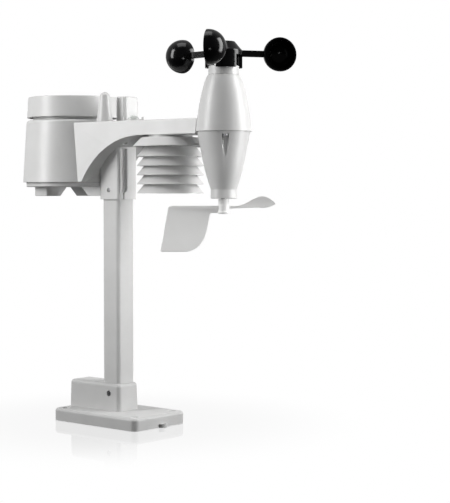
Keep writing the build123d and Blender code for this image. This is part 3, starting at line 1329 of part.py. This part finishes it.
for cup_number, azimuth in enumerate(CUP_AZIMUTHS, start=1):
    a = radians(azimuth)
    centre = (HEAD_X + CUP_CIRCLE * cos(a), CUP_CIRCLE * sin(a), CUP_Z)
    mouth = (sin(a), -cos(a), 0)
    inner_r = CUP_R - CUP_WALL
    slant = sqrt(0.5)
    with BuildPart() as cup_arm:
        # hemispherical shell whose mouth faces along the rotor's circle
        with BuildSketch(Plane(origin=centre, x_dir=mouth, z_dir=(-cos(a), -sin(a), 0))):
            with BuildLine():
                Line((CUP_RIM, inner_r), (CUP_RIM, CUP_R))
                Line((CUP_RIM, CUP_R), (0, CUP_R))
                ThreePointArc((0, CUP_R), (-CUP_R * slant, CUP_R * slant), (-CUP_R, 0))
                Line((-CUP_R, 0), (-inner_r, 0))
                ThreePointArc((-inner_r, 0), (-inner_r * slant, inner_r * slant), (0, inner_r))
                Line((0, inner_r), (CUP_RIM, inner_r))
            make_face()
        revolve(axis=Axis(centre, mouth))
        with BuildSketch(cup_arm_plane(azimuth, CUP_ROOT + 0.1)):
            with Locations((CUP_ARM_OFFSET, 0)):
                RectangleRounded(CUP_ARM_THICKNESS, CUP_ARM_HEIGHT, 0.8)
        extrude(amount=CUP_CIRCLE - inner_r - CUP_ROOT - 0.4)
    save(cup_arm, f"cup_arm_{cup_number}")

# ---------------------------------------------------------------- wind vane

with BuildPart() as vane_bearings:
    for bush_z in (HEAD_BOTTOM + 0.6, VANE_TUBE_TOP - BUSH_HEIGHT):
        with BuildSketch(about(HEAD_X, bush_z)):
            Circle(VANE_BUSH_R)
            Circle(VANE_SHAFT_R + SHAFT_GAP, mode=Mode.SUBTRACT)
        extrude(amount=BUSH_HEIGHT)
save(vane_bearings, "vane_bearings")

with BuildPart() as vane_shaft:
    with BuildSketch(about(HEAD_X, VANE_HUB_BOTTOM + 2.0)):
        Circle(VANE_SHAFT_R)
    extrude(amount=308.0 - VANE_HUB_BOTTOM - 2.0)
    chamfer(vane_shaft.edges().group_by(Axis.Z)[-1], 0.3)
save(vane_shaft, "vane_shaft")

with BuildPart() as vane_magnet:
    with BuildSketch(about(HEAD_X, 303.0)):
        Circle(7.5)
        Circle(VANE_SHAFT_R, mode=Mode.SUBTRACT)
    extrude(amount=4.0)
save(vane_magnet, "vane_magnet")

with BuildPart() as wind_vane:
    # tail fin
    with BuildSketch(radial_plane(HEAD_X, VANE_AZIMUTH)):
        with BuildLine():
            Line((-4.0, SPINE_TOP), (-51.5, SPINE_TOP))
            ThreePointArc((-51.5, SPINE_TOP), (-54.0, 226.6), (-55.0, 224.2))
            Line((-55.0, 224.2), (-61.9, 184.4))
            ThreePointArc((-61.9, 184.4), (-61.6, 183.2), (-60.4, FIN_BOTTOM))
            Line((-60.4, FIN_BOTTOM), (-36.0, FIN_BOTTOM))
            Spline((-36.0, FIN_BOTTOM), (-20.0, 194.0), (-15.4, 208.7), (-13.9, 218.0))
            ThreePointArc((-13.9, 218.0), (-13.1, 219.9), (-11.3, SPINE_ROOT))
            Polyline((-11.3, SPINE_ROOT), (-4.0, SPINE_ROOT), (-4.0, SPINE_TOP))
        make_face()
    extrude(amount=VANE_THICKNESS / 2, both=True)
    chamfer(wind_vane.faces().sort_by(SortBy.AREA)[-2:].edges(), 0.5)
    # spine along the fin's upper edge
    with BuildSketch(radial_plane(HEAD_X, VANE_AZIMUTH)):
        with BuildLine():
            Polyline(
                (-4.0, SPINE_TOP),
                (-51.5, SPINE_TOP),
                (-50.6, SPINE_TOP - 2.0),
                (-4.0, SPINE_TOP - 3.0),
                close=True,
            )
        make_face()
    extrude(amount=SPINE_WIDTH / 2, both=True)
    # nose: a bar that widens into a leaf, thicker along its lower edge
    with BuildSketch(radial_plane(HEAD_X, VANE_AZIMUTH)):
        with BuildLine():
            Polyline((4.0, 224.8), (4.0, SPINE_TOP), (14.0, SPINE_TOP))
            Spline((14.0, SPINE_TOP), (26.0, 232.4), (37.5, 236.7), (46.5, 233.6), (50.7, 229.4))
            Spline((50.7, 229.4), (45.0, 226.6), (34.0, 225.8))
            Line((34.0, 225.8), (4.0, 224.8))
        make_face()
    extrude(amount=VANE_THICKNESS / 2, both=True)
    with BuildSketch(radial_plane(HEAD_X, VANE_AZIMUTH)):
        with BuildLine():
            Line((4.0, 224.8), (34.0, 225.8))
            Spline((34.0, 225.8), (41.0, 226.2), (47.5, 227.6))
            Spline((47.5, 227.6), (41.0, 227.4), (34.0, 227.0))
            Line((34.0, 227.0), (4.0, 226.6))
            Line((4.0, 226.6), (4.0, 224.8))
        make_face()
    extrude(amount=SPINE_WIDTH / 2, both=True)
    # hub with a small foot and a neck that fits under the head
    with BuildSketch(side_plane(HEAD_X)):
        with BuildLine():
            Polyline(
                (0, VANE_HUB_BOTTOM),
                (VANE_HUB_R - 0.6, VANE_HUB_BOTTOM),
                (VANE_HUB_R, VANE_HUB_BOTTOM + 0.6),
                (VANE_HUB_R, VANE_HUB_BOTTOM + 2.0),
                (VANE_HUB_R - 0.7, VANE_HUB_BOTTOM + 3.0),
                (VANE_HUB_R - 0.7, VANE_HUB_TOP),
                (VANE_NECK_R, VANE_HUB_TOP + 0.6),
                (VANE_NECK_R, HEAD_BOTTOM - 0.4),
                (0, HEAD_BOTTOM - 0.4),
                close=True,
            )
        make_face()
    revolve(axis=HEAD_AXIS)
    with BuildSketch(about(HEAD_X, VANE_HUB_BOTTOM + 2.0)):
        Circle(VANE_SHAFT_R)
    extrude(amount=40.0, mode=Mode.SUBTRACT)
save(wind_vane, "wind_vane")
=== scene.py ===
"""Looks for the pole-mounted outdoor weather sensor: camera, studio, materials and fine detail.

Everything is in metres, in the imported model's own frame: +Z up, +X from the pole to the wind head.
"""

import json
from math import cos, pi, radians, sin

import bmesh
import bpy
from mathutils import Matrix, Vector


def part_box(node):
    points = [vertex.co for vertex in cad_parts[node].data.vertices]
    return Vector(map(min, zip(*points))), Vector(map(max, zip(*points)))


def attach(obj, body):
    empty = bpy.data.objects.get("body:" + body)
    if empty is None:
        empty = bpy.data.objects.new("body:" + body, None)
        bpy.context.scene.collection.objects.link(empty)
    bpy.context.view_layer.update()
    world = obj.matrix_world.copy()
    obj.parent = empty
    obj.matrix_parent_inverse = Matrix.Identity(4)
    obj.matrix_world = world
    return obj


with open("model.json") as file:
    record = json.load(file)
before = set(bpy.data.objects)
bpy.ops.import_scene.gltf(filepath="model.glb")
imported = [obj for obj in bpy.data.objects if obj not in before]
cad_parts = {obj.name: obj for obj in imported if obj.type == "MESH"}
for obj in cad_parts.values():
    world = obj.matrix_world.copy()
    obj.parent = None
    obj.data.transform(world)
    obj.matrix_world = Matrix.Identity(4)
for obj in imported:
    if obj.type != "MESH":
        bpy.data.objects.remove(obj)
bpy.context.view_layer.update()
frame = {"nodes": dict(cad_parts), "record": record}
NODES = frame["nodes"]
scene = bpy.context.scene
scene.view_settings.view_transform = "Standard"

# ---------------------------------------------------------------- camera

CAMERA_AZIMUTH = radians(45.0)  # from -Y towards +X
CAMERA_DISTANCE = 1.50
CAMERA_HEIGHT = 0.240
CAMERA_YAW = radians(4.27)  # to the right, which leaves the pole left of the middle
CAMERA_PITCH = radians(2.34)  # downwards
LENS = 102.3
CLIP_START = 0.05
CLIP_END = 50.0
TO_CAMERA = Vector((sin(CAMERA_AZIMUTH), -cos(CAMERA_AZIMUTH), 0))
TO_RIGHT = Vector((cos(CAMERA_AZIMUTH), sin(CAMERA_AZIMUTH), 0))
UP = Vector((0, 0, 1))


def studio_point(right, towards, up):
    """A point given by its distances to the right, towards the camera and above the floor."""
    return TO_RIGHT * right + TO_CAMERA * towards + UP * up


def make_camera():
    """Camera level with the wind head's lower end, aimed a little down and to the right."""
    data = bpy.data.cameras.new("camera")
    data.lens = LENS
    data.clip_start = CLIP_START
    data.clip_end = CLIP_END
    camera = bpy.data.objects.new("camera", data)
    scene.collection.objects.link(camera)
    camera.location = studio_point(0, CAMERA_DISTANCE, CAMERA_HEIGHT)
    ahead = -TO_CAMERA * cos(CAMERA_YAW) + TO_RIGHT * sin(CAMERA_YAW)
    ahead = ahead * cos(CAMERA_PITCH) - UP * sin(CAMERA_PITCH)
    camera.rotation_mode = "QUATERNION"
    camera.rotation_quaternion = ahead.to_track_quat("-Z", "Y")
    scene.camera = camera


make_camera()

# ---------------------------------------------------------------- studio

BACK_LIGHT = 0.42
FRONT_LIGHT = 0.06
FLOOR_LIGHT = 0.20
SIDE_FADE = (-0.35, 0.45)  # cosines to the camera's direction, from back light to front light
PATCH_FADE = (-0.965, -0.90)  # the same, across the edge of the white patch behind the object
FLOOR_FADE = (-0.25, -0.02)  # cosines to up, from floor light to full light
FLOOR_RADIUS = 6.0
FLOOR_GAP = 0.0004  # the floor lies this far under the base
MIRROR_NEAR = 0.08  # distances from the pole between which the mirror image fades out
MIRROR_FAR = 0.27
MIRROR_SHARE = 0.30
MIRROR_ROUGHNESS = 0.03
LIGHT_AIM = (0.0, 0.0, 0.25)
FULL_SPREAD = 180.0


def fade(make_node, bounds, start, end):
    """Node that goes smoothly from start to end as its value crosses the bounds."""
    ranged = make_node("ShaderNodeMapRange")
    ranged.interpolation_type = "SMOOTHSTEP"
    ranged.inputs["From Min"].default_value = bounds[0]
    ranged.inputs["From Max"].default_value = bounds[1]
    ranged.inputs["To Min"].default_value = start
    ranged.inputs["To Max"].default_value = end
    return ranged


def make_world():
    """White to the camera. To all else a white patch behind, dim in front and below."""
    world = bpy.data.worlds.new("studio")
    scene.world = world
    world.use_nodes = True
    tree = world.node_tree
    tree.nodes.clear()
    node = tree.nodes.new
    link = tree.links.new
    coordinate = node("ShaderNodeTexCoord")
    facing = node("ShaderNodeVectorMath")
    facing.operation = "DOT_PRODUCT"
    facing.inputs[1].default_value = TO_CAMERA
    side = fade(node, SIDE_FADE, BACK_LIGHT, FRONT_LIGHT)
    backdrop = fade(node, PATCH_FADE, 1.0, 0.0)
    brighter = node("ShaderNodeMath")
    brighter.operation = "MAXIMUM"
    height = node("ShaderNodeVectorMath")
    height.operation = "DOT_PRODUCT"
    height.inputs[1].default_value = UP
    below = fade(node, FLOOR_FADE, FLOOR_LIGHT, 1.0)
    product = node("ShaderNodeMath")
    product.operation = "MULTIPLY"
    path = node("ShaderNodeLightPath")
    seen = node("ShaderNodeMix")
    seen.inputs["B"].default_value = 1.0
    background = node("ShaderNodeBackground")
    background.inputs["Color"].default_value = (1.0, 1.0, 1.0, 1.0)
    output = node("ShaderNodeOutputWorld")
    link(coordinate.outputs["Generated"], facing.inputs[0])
    link(coordinate.outputs["Generated"], height.inputs[0])
    link(facing.outputs["Value"], side.inputs["Value"])
    link(height.outputs["Value"], below.inputs["Value"])
    link(facing.outputs["Value"], backdrop.inputs["Value"])
    link(side.outputs["Result"], brighter.inputs[0])
    link(backdrop.outputs["Result"], brighter.inputs[1])
    link(brighter.outputs["Value"], product.inputs[0])
    link(below.outputs["Result"], product.inputs[1])
    link(path.outputs["Is Camera Ray"], seen.inputs["Factor"])
    link(product.outputs["Value"], seen.inputs["A"])
    link(seen.outputs["Result"], background.inputs["Strength"])
    link(background.outputs["Background"], output.inputs["Surface"])


def soft_box(name, place, size, power, aim=LIGHT_AIM, spread=FULL_SPREAD):
    """Area light at a studio point, facing a point of the object; spread is in degrees."""
    data = bpy.data.lights.new(name, "AREA")
    data.shape = "RECTANGLE"
    data.size, data.size_y = size
    data.energy = power
    data.spread = radians(spread)
    light = bpy.data.objects.new(name, data)
    scene.collection.objects.link(light)
    light.location = studio_point(*place)
    light.rotation_mode = "QUATERNION"
    light.rotation_quaternion = (Vector(aim) - light.location).to_track_quat("-Z", "Y")


def make_floor():
    """Pure white sheet with a mirror image of the object that fades out away from it."""
    bpy.ops.mesh.primitive_circle_add(
        vertices=96, radius=FLOOR_RADIUS, fill_type="NGON", location=(0, 0, -FLOOR_GAP)
    )
    floor = bpy.context.object
    floor.name = "floor"
    floor.visible_diffuse = False
    floor.visible_glossy = False
    material = bpy.data.materials.new("floor_sheet")
    material.use_nodes = True
    tree = material.node_tree
    tree.nodes.clear()
    node = tree.nodes.new
    link = tree.links.new
    coordinate = node("ShaderNodeTexCoord")
    length = node("ShaderNodeVectorMath")
    length.operation = "LENGTH"
    share = fade(node, (MIRROR_NEAR, MIRROR_FAR), MIRROR_SHARE, 0.0)
    white = node("ShaderNodeEmission")
    mirror = node("ShaderNodeBsdfGlossy")
    mirror.inputs["Roughness"].default_value = MIRROR_ROUGHNESS
    shine = node("ShaderNodeMixShader")
    output = node("ShaderNodeOutputMaterial")
    link(coordinate.outputs["Object"], length.inputs[0])
    link(length.outputs["Value"], share.inputs["Value"])
    link(share.outputs["Result"], shine.inputs["Fac"])
    link(white.outputs["Emission"], shine.inputs[1])
    link(mirror.outputs["BSDF"], shine.inputs[2])
    link(shine.outputs["Shader"], output.inputs["Surface"])
    floor.data.materials.append(material)


make_world()
make_floor()
soft_box("soft_box_left", place=(-0.76, 0.24, 0.58), size=(0.28, 0.75), power=7.6)
soft_box("soft_box_right", place=(0.79, 0.20, 0.48), size=(0.36, 0.9), power=9.8)
soft_box("soft_box_top", place=(0.0, 0.10, 1.20), size=(0.6, 0.5), power=2.5)
# narrow light on the vane's fin and the lower head; a narrow beam concentrates its small power
soft_box(
    "low_fill",
    place=(0.12, 0.85, 0.10),
    size=(0.16, 0.16),
    power=0.044,
    aim=(0.115, -0.03, 0.205),
    spread=26.0,
)

# ---------------------------------------------------------------- materials

NOISE_ROUGHNESS = 0.55
EDGE_POINTINESS = (0.52, 0.62)
EDGE_WEAR = 0.25  # how much of the paler edge colour shows
CLOUD_SIZE = 0.035
GLOSS_PATCH_SIZE = 0.012
SWIRL_SIZE = 0.010
METAL_LINE_SIZE = 0.0005
TARNISH_SIZE = 0.004
TRACK_SCALE = 260.0
CELL_BAND_START = -0.0155  # copper-coloured end of a cell, along Y in metres
CELL_BAND_END = -0.0150


class Shader:
    """A new material with its Principled shader, and short calls for the nodes around it."""

    def __init__(self, name):
        self.material = bpy.data.materials.new(name)
        self.material.use_nodes = True
        self.tree = self.material.node_tree
        self.surface = self.tree.nodes["Principled BSDF"]
        self.place = self.node("ShaderNodeTexCoord").outputs["Object"]

    def node(self, kind, **values):
        made = self.tree.nodes.new(kind)
        for name, value in values.items():
            setattr(made, name, value)
        return made

    def link(self, output, socket):
        self.tree.links.new(output, socket)

    def set(self, **values):
        """Sets the shader's own sockets, such as Roughness=0.4."""
        for name, value in values.items():
            self.surface.inputs[name.replace("_", " ")].default_value = value

    def noise(self, size, detail=3.0, stretch=(1, 1, 1)):
        """Noise whose features are about size metres across."""
        mapping = self.node("ShaderNodeMapping")
        mapping.inputs["Scale"].default_value = stretch
        noise = self.node("ShaderNodeTexNoise")
        noise.inputs["Scale"].default_value = 1.0 / size
        noise.inputs["Detail"].default_value = detail
        noise.inputs["Roughness"].default_value = NOISE_ROUGHNESS
        self.link(self.place, mapping.inputs["Vector"])
        self.link(mapping.outputs["Vector"], noise.inputs["Vector"])
        return noise.outputs["Fac"]

    def spread(self, value, low, high, start=0.3, end=0.7):
        """Maps start..end of a value to low..high."""
        ranged = self.node("ShaderNodeMapRange")
        ranged.inputs["From Min"].default_value = start
        ranged.inputs["From Max"].default_value = end
        ranged.inputs["To Min"].default_value = low
        ranged.inputs["To Max"].default_value = high
        self.link(value, ranged.inputs["Value"])
        return ranged.outputs["Result"]

    def mix(self, share, first, second):
        """Colour between two colours, each a tuple or an output."""
        mixed = self.node("ShaderNodeMix", data_type="RGBA")
        self.link(share, mixed.inputs["Factor"])
        for socket, colour in ((mixed.inputs[6], first), (mixed.inputs[7], second)):
            if isinstance(colour, tuple):
                socket.default_value = (*colour, 1.0)
            else:
                self.link(colour, socket)
        return mixed.outputs[2]

    def bump(self, height, depth, strength=1.0):
        """Normal from a height, depth metres deep."""
        bump = self.node("ShaderNodeBump")
        bump.inputs["Strength"].default_value = strength
        bump.inputs["Distance"].default_value = depth
        self.link(height, bump.inputs["Height"])
        return bump.outputs["Normal"]

    def edges(self):
        """1 on sharp outer edges, 0 elsewhere."""
        geometry = self.node("ShaderNodeNewGeometry")
        return self.spread(geometry.outputs["Pointiness"], 0.0, 1.0, *EDGE_POINTINESS)

    def scaled(self, value, factor):
        product = self.node("ShaderNodeMath", operation="MULTIPLY")
        product.inputs[1].default_value = factor
        self.link(value, product.inputs[0])
        return product.outputs["Value"]


def shade(colour, factor):
    return tuple(channel * factor for channel in colour)


def moulded(name, colour, roughness, grain, depth, cloud=0.05, gloss=0.4):
    """Injection-moulded plastic: fine spark-eroded grain, faint clouding, edges rubbed paler."""
    s = Shader(name)
    grain_height = s.noise(grain, detail=2.0)
    clouds = s.spread(s.noise(CLOUD_SIZE, detail=4.0), 0.0, 1.0)
    base = s.mix(clouds, shade(colour, 1.0 - cloud), shade(colour, 1.0 + cloud / 2))
    rubbed = s.mix(s.scaled(s.edges(), EDGE_WEAR), base, shade(colour, 1.12))
    s.link(rubbed, s.surface.inputs["Base Color"])
    uneven = s.spread(s.noise(GLOSS_PATCH_SIZE), roughness - 0.04, roughness + 0.05)
    s.link(uneven, s.surface.inputs["Roughness"])
    s.link(s.bump(grain_height, depth), s.surface.inputs["Normal"])
    s.set(Specular_IOR_Level=gloss)
    return s.material


def polished_black(name):
    """Polished black plastic with a faint moulding swirl and a finely uneven gloss."""
    s = Shader(name)
    swirl = s.noise(SWIRL_SIZE, detail=2.0)
    fine = s.noise(0.0006, detail=2.0)
    base = s.mix(s.spread(swirl, 0.0, 1.0), (0.002, 0.002, 0.0022), (0.004, 0.004, 0.0044))
    s.link(base, s.surface.inputs["Base Color"])
    s.link(s.spread(fine, 0.12, 0.20), s.surface.inputs["Roughness"])
    s.link(s.bump(swirl, 0.00004, 0.4), s.surface.inputs["Normal"])
    s.set(Specular_IOR_Level=0.30)
    return s.material


def metal(name, colour, roughness, brush=(1, 1, 1)):
    """Metal with a fine directional finish and a little tarnish."""
    s = Shader(name)
    lines = s.noise(METAL_LINE_SIZE, stretch=brush)
    tarnish = s.noise(TARNISH_SIZE, detail=4.0)
    base = s.mix(s.spread(tarnish, 0.0, 1.0), shade(colour, 0.82), shade(colour, 1.05))
    s.link(base, s.surface.inputs["Base Color"])
    s.link(s.spread(lines, roughness - 0.07, roughness + 0.1), s.surface.inputs["Roughness"])
    s.link(s.bump(lines, 0.00002, 0.6), s.surface.inputs["Normal"])
    s.set(Metallic=1.0)
    return s.material


def clear_dome(name, colour, transmission):
    """Moulded dome over pale fluid, or the bubble in it, which is opaque and pale: a painted
    highlight.
    """
    s = Shader(name)
    s.link(s.spread(s.noise(0.002), 0.02, 0.06), s.surface.inputs["Roughness"])
    s.link(s.bump(s.noise(0.003), 0.00002, 0.3), s.surface.inputs["Normal"])
    s.set(Base_Color=(*colour, 1.0), IOR=1.45, Transmission_Weight=transmission)
    return s.material


def lamp_lens(name):
    """Red tinted light pipe."""
    s = Shader(name)
    base = s.mix(s.spread(s.noise(0.001), 0.0, 1.0), (0.42, 0.02, 0.015), (0.6, 0.04, 0.03))
    s.link(base, s.surface.inputs["Base Color"])
    s.link(s.bump(s.noise(0.0008), 0.00002, 0.4), s.surface.inputs["Normal"])
    s.set(Roughness=0.18, Transmission_Weight=0.35)
    return s.material


def board(name):
    """Green solder mask with thin lighter tracks."""
    s = Shader(name)
    tracks = s.node("ShaderNodeTexBrick")
    tracks.inputs["Scale"].default_value = TRACK_SCALE
    tracks.inputs["Mortar Size"].default_value = 0.03
    s.link(s.place, tracks.inputs["Vector"])
    base = s.mix(tracks.outputs["Fac"], (0.012, 0.10, 0.035), (0.03, 0.20, 0.08))
    s.link(base, s.surface.inputs["Base Color"])
    s.link(s.spread(s.noise(0.001), 0.25, 0.4), s.surface.inputs["Roughness"])
    s.link(s.bump(tracks.outputs["Fac"], 0.00003), s.surface.inputs["Normal"])
    return s.material


def cell_jacket(name):
    """Battery jackets: dark sleeve with a copper-coloured band at one end."""
    s = Shader(name)
    split = s.node("ShaderNodeSeparateXYZ")
    s.link(s.place, split.inputs["Vector"])
    band = s.spread(split.outputs["Y"], 1.0, 0.0, CELL_BAND_START, CELL_BAND_END)
    base = s.mix(band, (0.02, 0.022, 0.026), (0.55, 0.27, 0.10))
    s.link(base, s.surface.inputs["Base Color"])
    s.link(s.spread(s.noise(0.002), 0.2, 0.32), s.surface.inputs["Roughness"])
    s.link(s.bump(s.noise(0.0009), 0.00002), s.surface.inputs["Normal"])
    s.set(Metallic=0.4)
    return s.material


def soft_rubber(name):
    """Matte black rubber or wire insulation."""
    s = Shader(name)
    base = s.mix(s.spread(s.noise(0.003), 0.0, 1.0), (0.014, 0.014, 0.014), (0.03, 0.03, 0.031))
    s.link(base, s.surface.inputs["Base Color"])
    s.link(s.spread(s.noise(0.0007), 0.6, 0.8), s.surface.inputs["Roughness"])
    s.link(s.bump(s.noise(0.0004), 0.00004), s.surface.inputs["Normal"])
    return s.material


HOUSING = (0.60, 0.60, 0.595)
MATERIALS = {
    "housing": moulded("moulded_housing", HOUSING, 0.36, 0.0005, 0.000012, gloss=0.5),
    "stand": moulded("moulded_stand", shade(HOUSING, 0.98), 0.46, 0.0007, 0.00004, cloud=0.06),
    "inner_plastic": moulded("moulded_inner", (0.035, 0.035, 0.037), 0.5, 0.0006, 0.00003),
    "rotor_plastic": polished_black("polished_rotor"),
    "screw_steel": metal("zinc_screws", (0.30, 0.30, 0.31), 0.38),
    "shaft_steel": metal("ground_shafts", (0.55, 0.55, 0.56), 0.22, brush=(1, 1, 8)),
    "bush_brass": metal("turned_bushes", (0.62, 0.45, 0.19), 0.28, brush=(1, 1, 8)),
    "magnet_metal": metal("plated_magnets", (0.42, 0.42, 0.44), 0.2),
    "level_glass": clear_dome("clear_dome", (0.80, 0.83, 0.80), 0.45),
    "lens_plastic": lamp_lens("red_lens"),
    "gasket_rubber": soft_rubber("gasket"),
    "circuit_board": board("solder_mask"),
    "cell_jacket": cell_jacket("cell_jackets"),
    "contact_metal": metal("plated_contacts", (0.62, 0.60, 0.56), 0.24),
    "wire_sleeve": soft_rubber("wire_insulation"),
}
# painted shade and painted light: the base is a darker copy of the stand plastic, painted shade
# against the floor's bounce, and the vane a paler copy of the housing plastic, painted light on its
# thin fin; each keeps its record's slot, and only matches the tone seen
SHADED_BASE_PLASTIC = moulded("moulded_base_painted_shade", shade(HOUSING, 0.90), 0.46, 0.0007, 0.00004, cloud=0.06)
# painted light: paler copy of the housing plastic, standing in for light on the thin fin
LIT_VANE_PLASTIC = moulded("moulded_vane_painted_light", (0.86, 0.86, 0.85), 0.44, 0.0005, 0.00001, cloud=0.03)
PAINTED_LIGHT_PLASTIC = {"wind_vane": LIT_VANE_PLASTIC, "base_plate": SHADED_BASE_PLASTIC}
SLOT_OF = {entry["node"]: entry["material_slot"] for entry in frame["record"]["subparts"]}

# the vane and the base take their painted light and painted shade copies, every other node its
# record's slot
for node_name, node in NODES.items():
    node.data.materials.clear()
    node.data.materials.append(PAINTED_LIGHT_PLASTIC.get(node_name, MATERIALS[SLOT_OF[node_name]]))

# ---------------------------------------------------------------- bubble level

LEVEL_LOW, LEVEL_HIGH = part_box("level_dome")
LEVEL_CENTRE = (LEVEL_LOW + LEVEL_HIGH) / 2
LEVEL_HEIGHT = LEVEL_HIGH.z - LEVEL_LOW.z
BUBBLE_R = 0.0020
BUBBLE_DEPTH = 0.0009
BUBBLE_DROP = 0.12  # below the dome's top, as a share of its height
RING_R = 0.0027
RING_WIRE = 0.00018
RING_LIFT = 0.25  # above the dome's foot, as a share of its height
WELD = 1e-7
ON_AXIS = 1e-6


def turned(name, profile, steps=48):
    """Closed mesh: a closed loop of (radius, height) points turned about the level's axis."""
    mesh = bpy.data.meshes.new(name)
    work = bmesh.new()
    rings = []
    for step in range(steps):
        angle = 2 * pi * step / steps
        rings.append([work.verts.new((r * cos(angle), r * sin(angle), z)) for r, z in profile])
    for step, ring in enumerate(rings):
        following = rings[(step + 1) % steps]
        for index in range(len(profile)):
            after = (index + 1) % len(profile)
            work.faces.new((ring[index], following[index], following[after], ring[after]))
    bmesh.ops.remove_doubles(work, verts=work.verts, dist=WELD)
    bmesh.ops.recalc_face_normals(work, faces=work.faces)
    work.to_mesh(mesh)
    work.free()
    mesh.polygons.foreach_set("use_smooth", [True] * len(mesh.polygons))
    piece = bpy.data.objects.new(name, mesh)
    scene.collection.objects.link(piece)
    return piece


def wire_loop(centre_r, centre_z, wire, steps=20):
    """Points of a circle beside the axis."""
    angles = [2 * pi * step / steps for step in range(steps)]
    return [(centre_r + wire * cos(a), centre_z + wire * sin(a)) for a in angles]


def bubble_loop(radius, top, depth, steps=14):
    """Half section of a bubble: domed above, nearly flat below, closed on the axis."""
    angles = [pi / 2 * step / steps for step in range(steps + 1)]
    upper = [(max(radius * cos(a), ON_AXIS), top - depth + depth * sin(a)) for a in angles]
    return upper + [(ON_AXIS, top - depth * 1.35), (radius * 0.7, top - depth * 1.25)]


def place_level(piece, material):
    """Puts a turned piece on the level's axis, fixed to the mast."""
    piece.location = (LEVEL_CENTRE.x, LEVEL_CENTRE.y, 0)
    piece.data.materials.append(material)
    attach(piece, "mast")


# painted highlight: the bubble is an opaque pale disc standing in for the bright reflection of an
# air bubble
PAINTED_HIGHLIGHT_BUBBLE = clear_dome("level_bubble", (0.93, 0.95, 0.93), 0.0)
bubble_top = LEVEL_HIGH.z - BUBBLE_DROP * LEVEL_HEIGHT
place_level(
    turned("level_bubble", bubble_loop(BUBBLE_R, bubble_top, BUBBLE_DEPTH)), PAINTED_HIGHLIGHT_BUBBLE
)
ring_height = LEVEL_LOW.z + RING_LIFT * LEVEL_HEIGHT
place_level(
    turned("level_ring", wire_loop(RING_R, ring_height, RING_WIRE)),
    MATERIALS["gasket_rubber"],
)
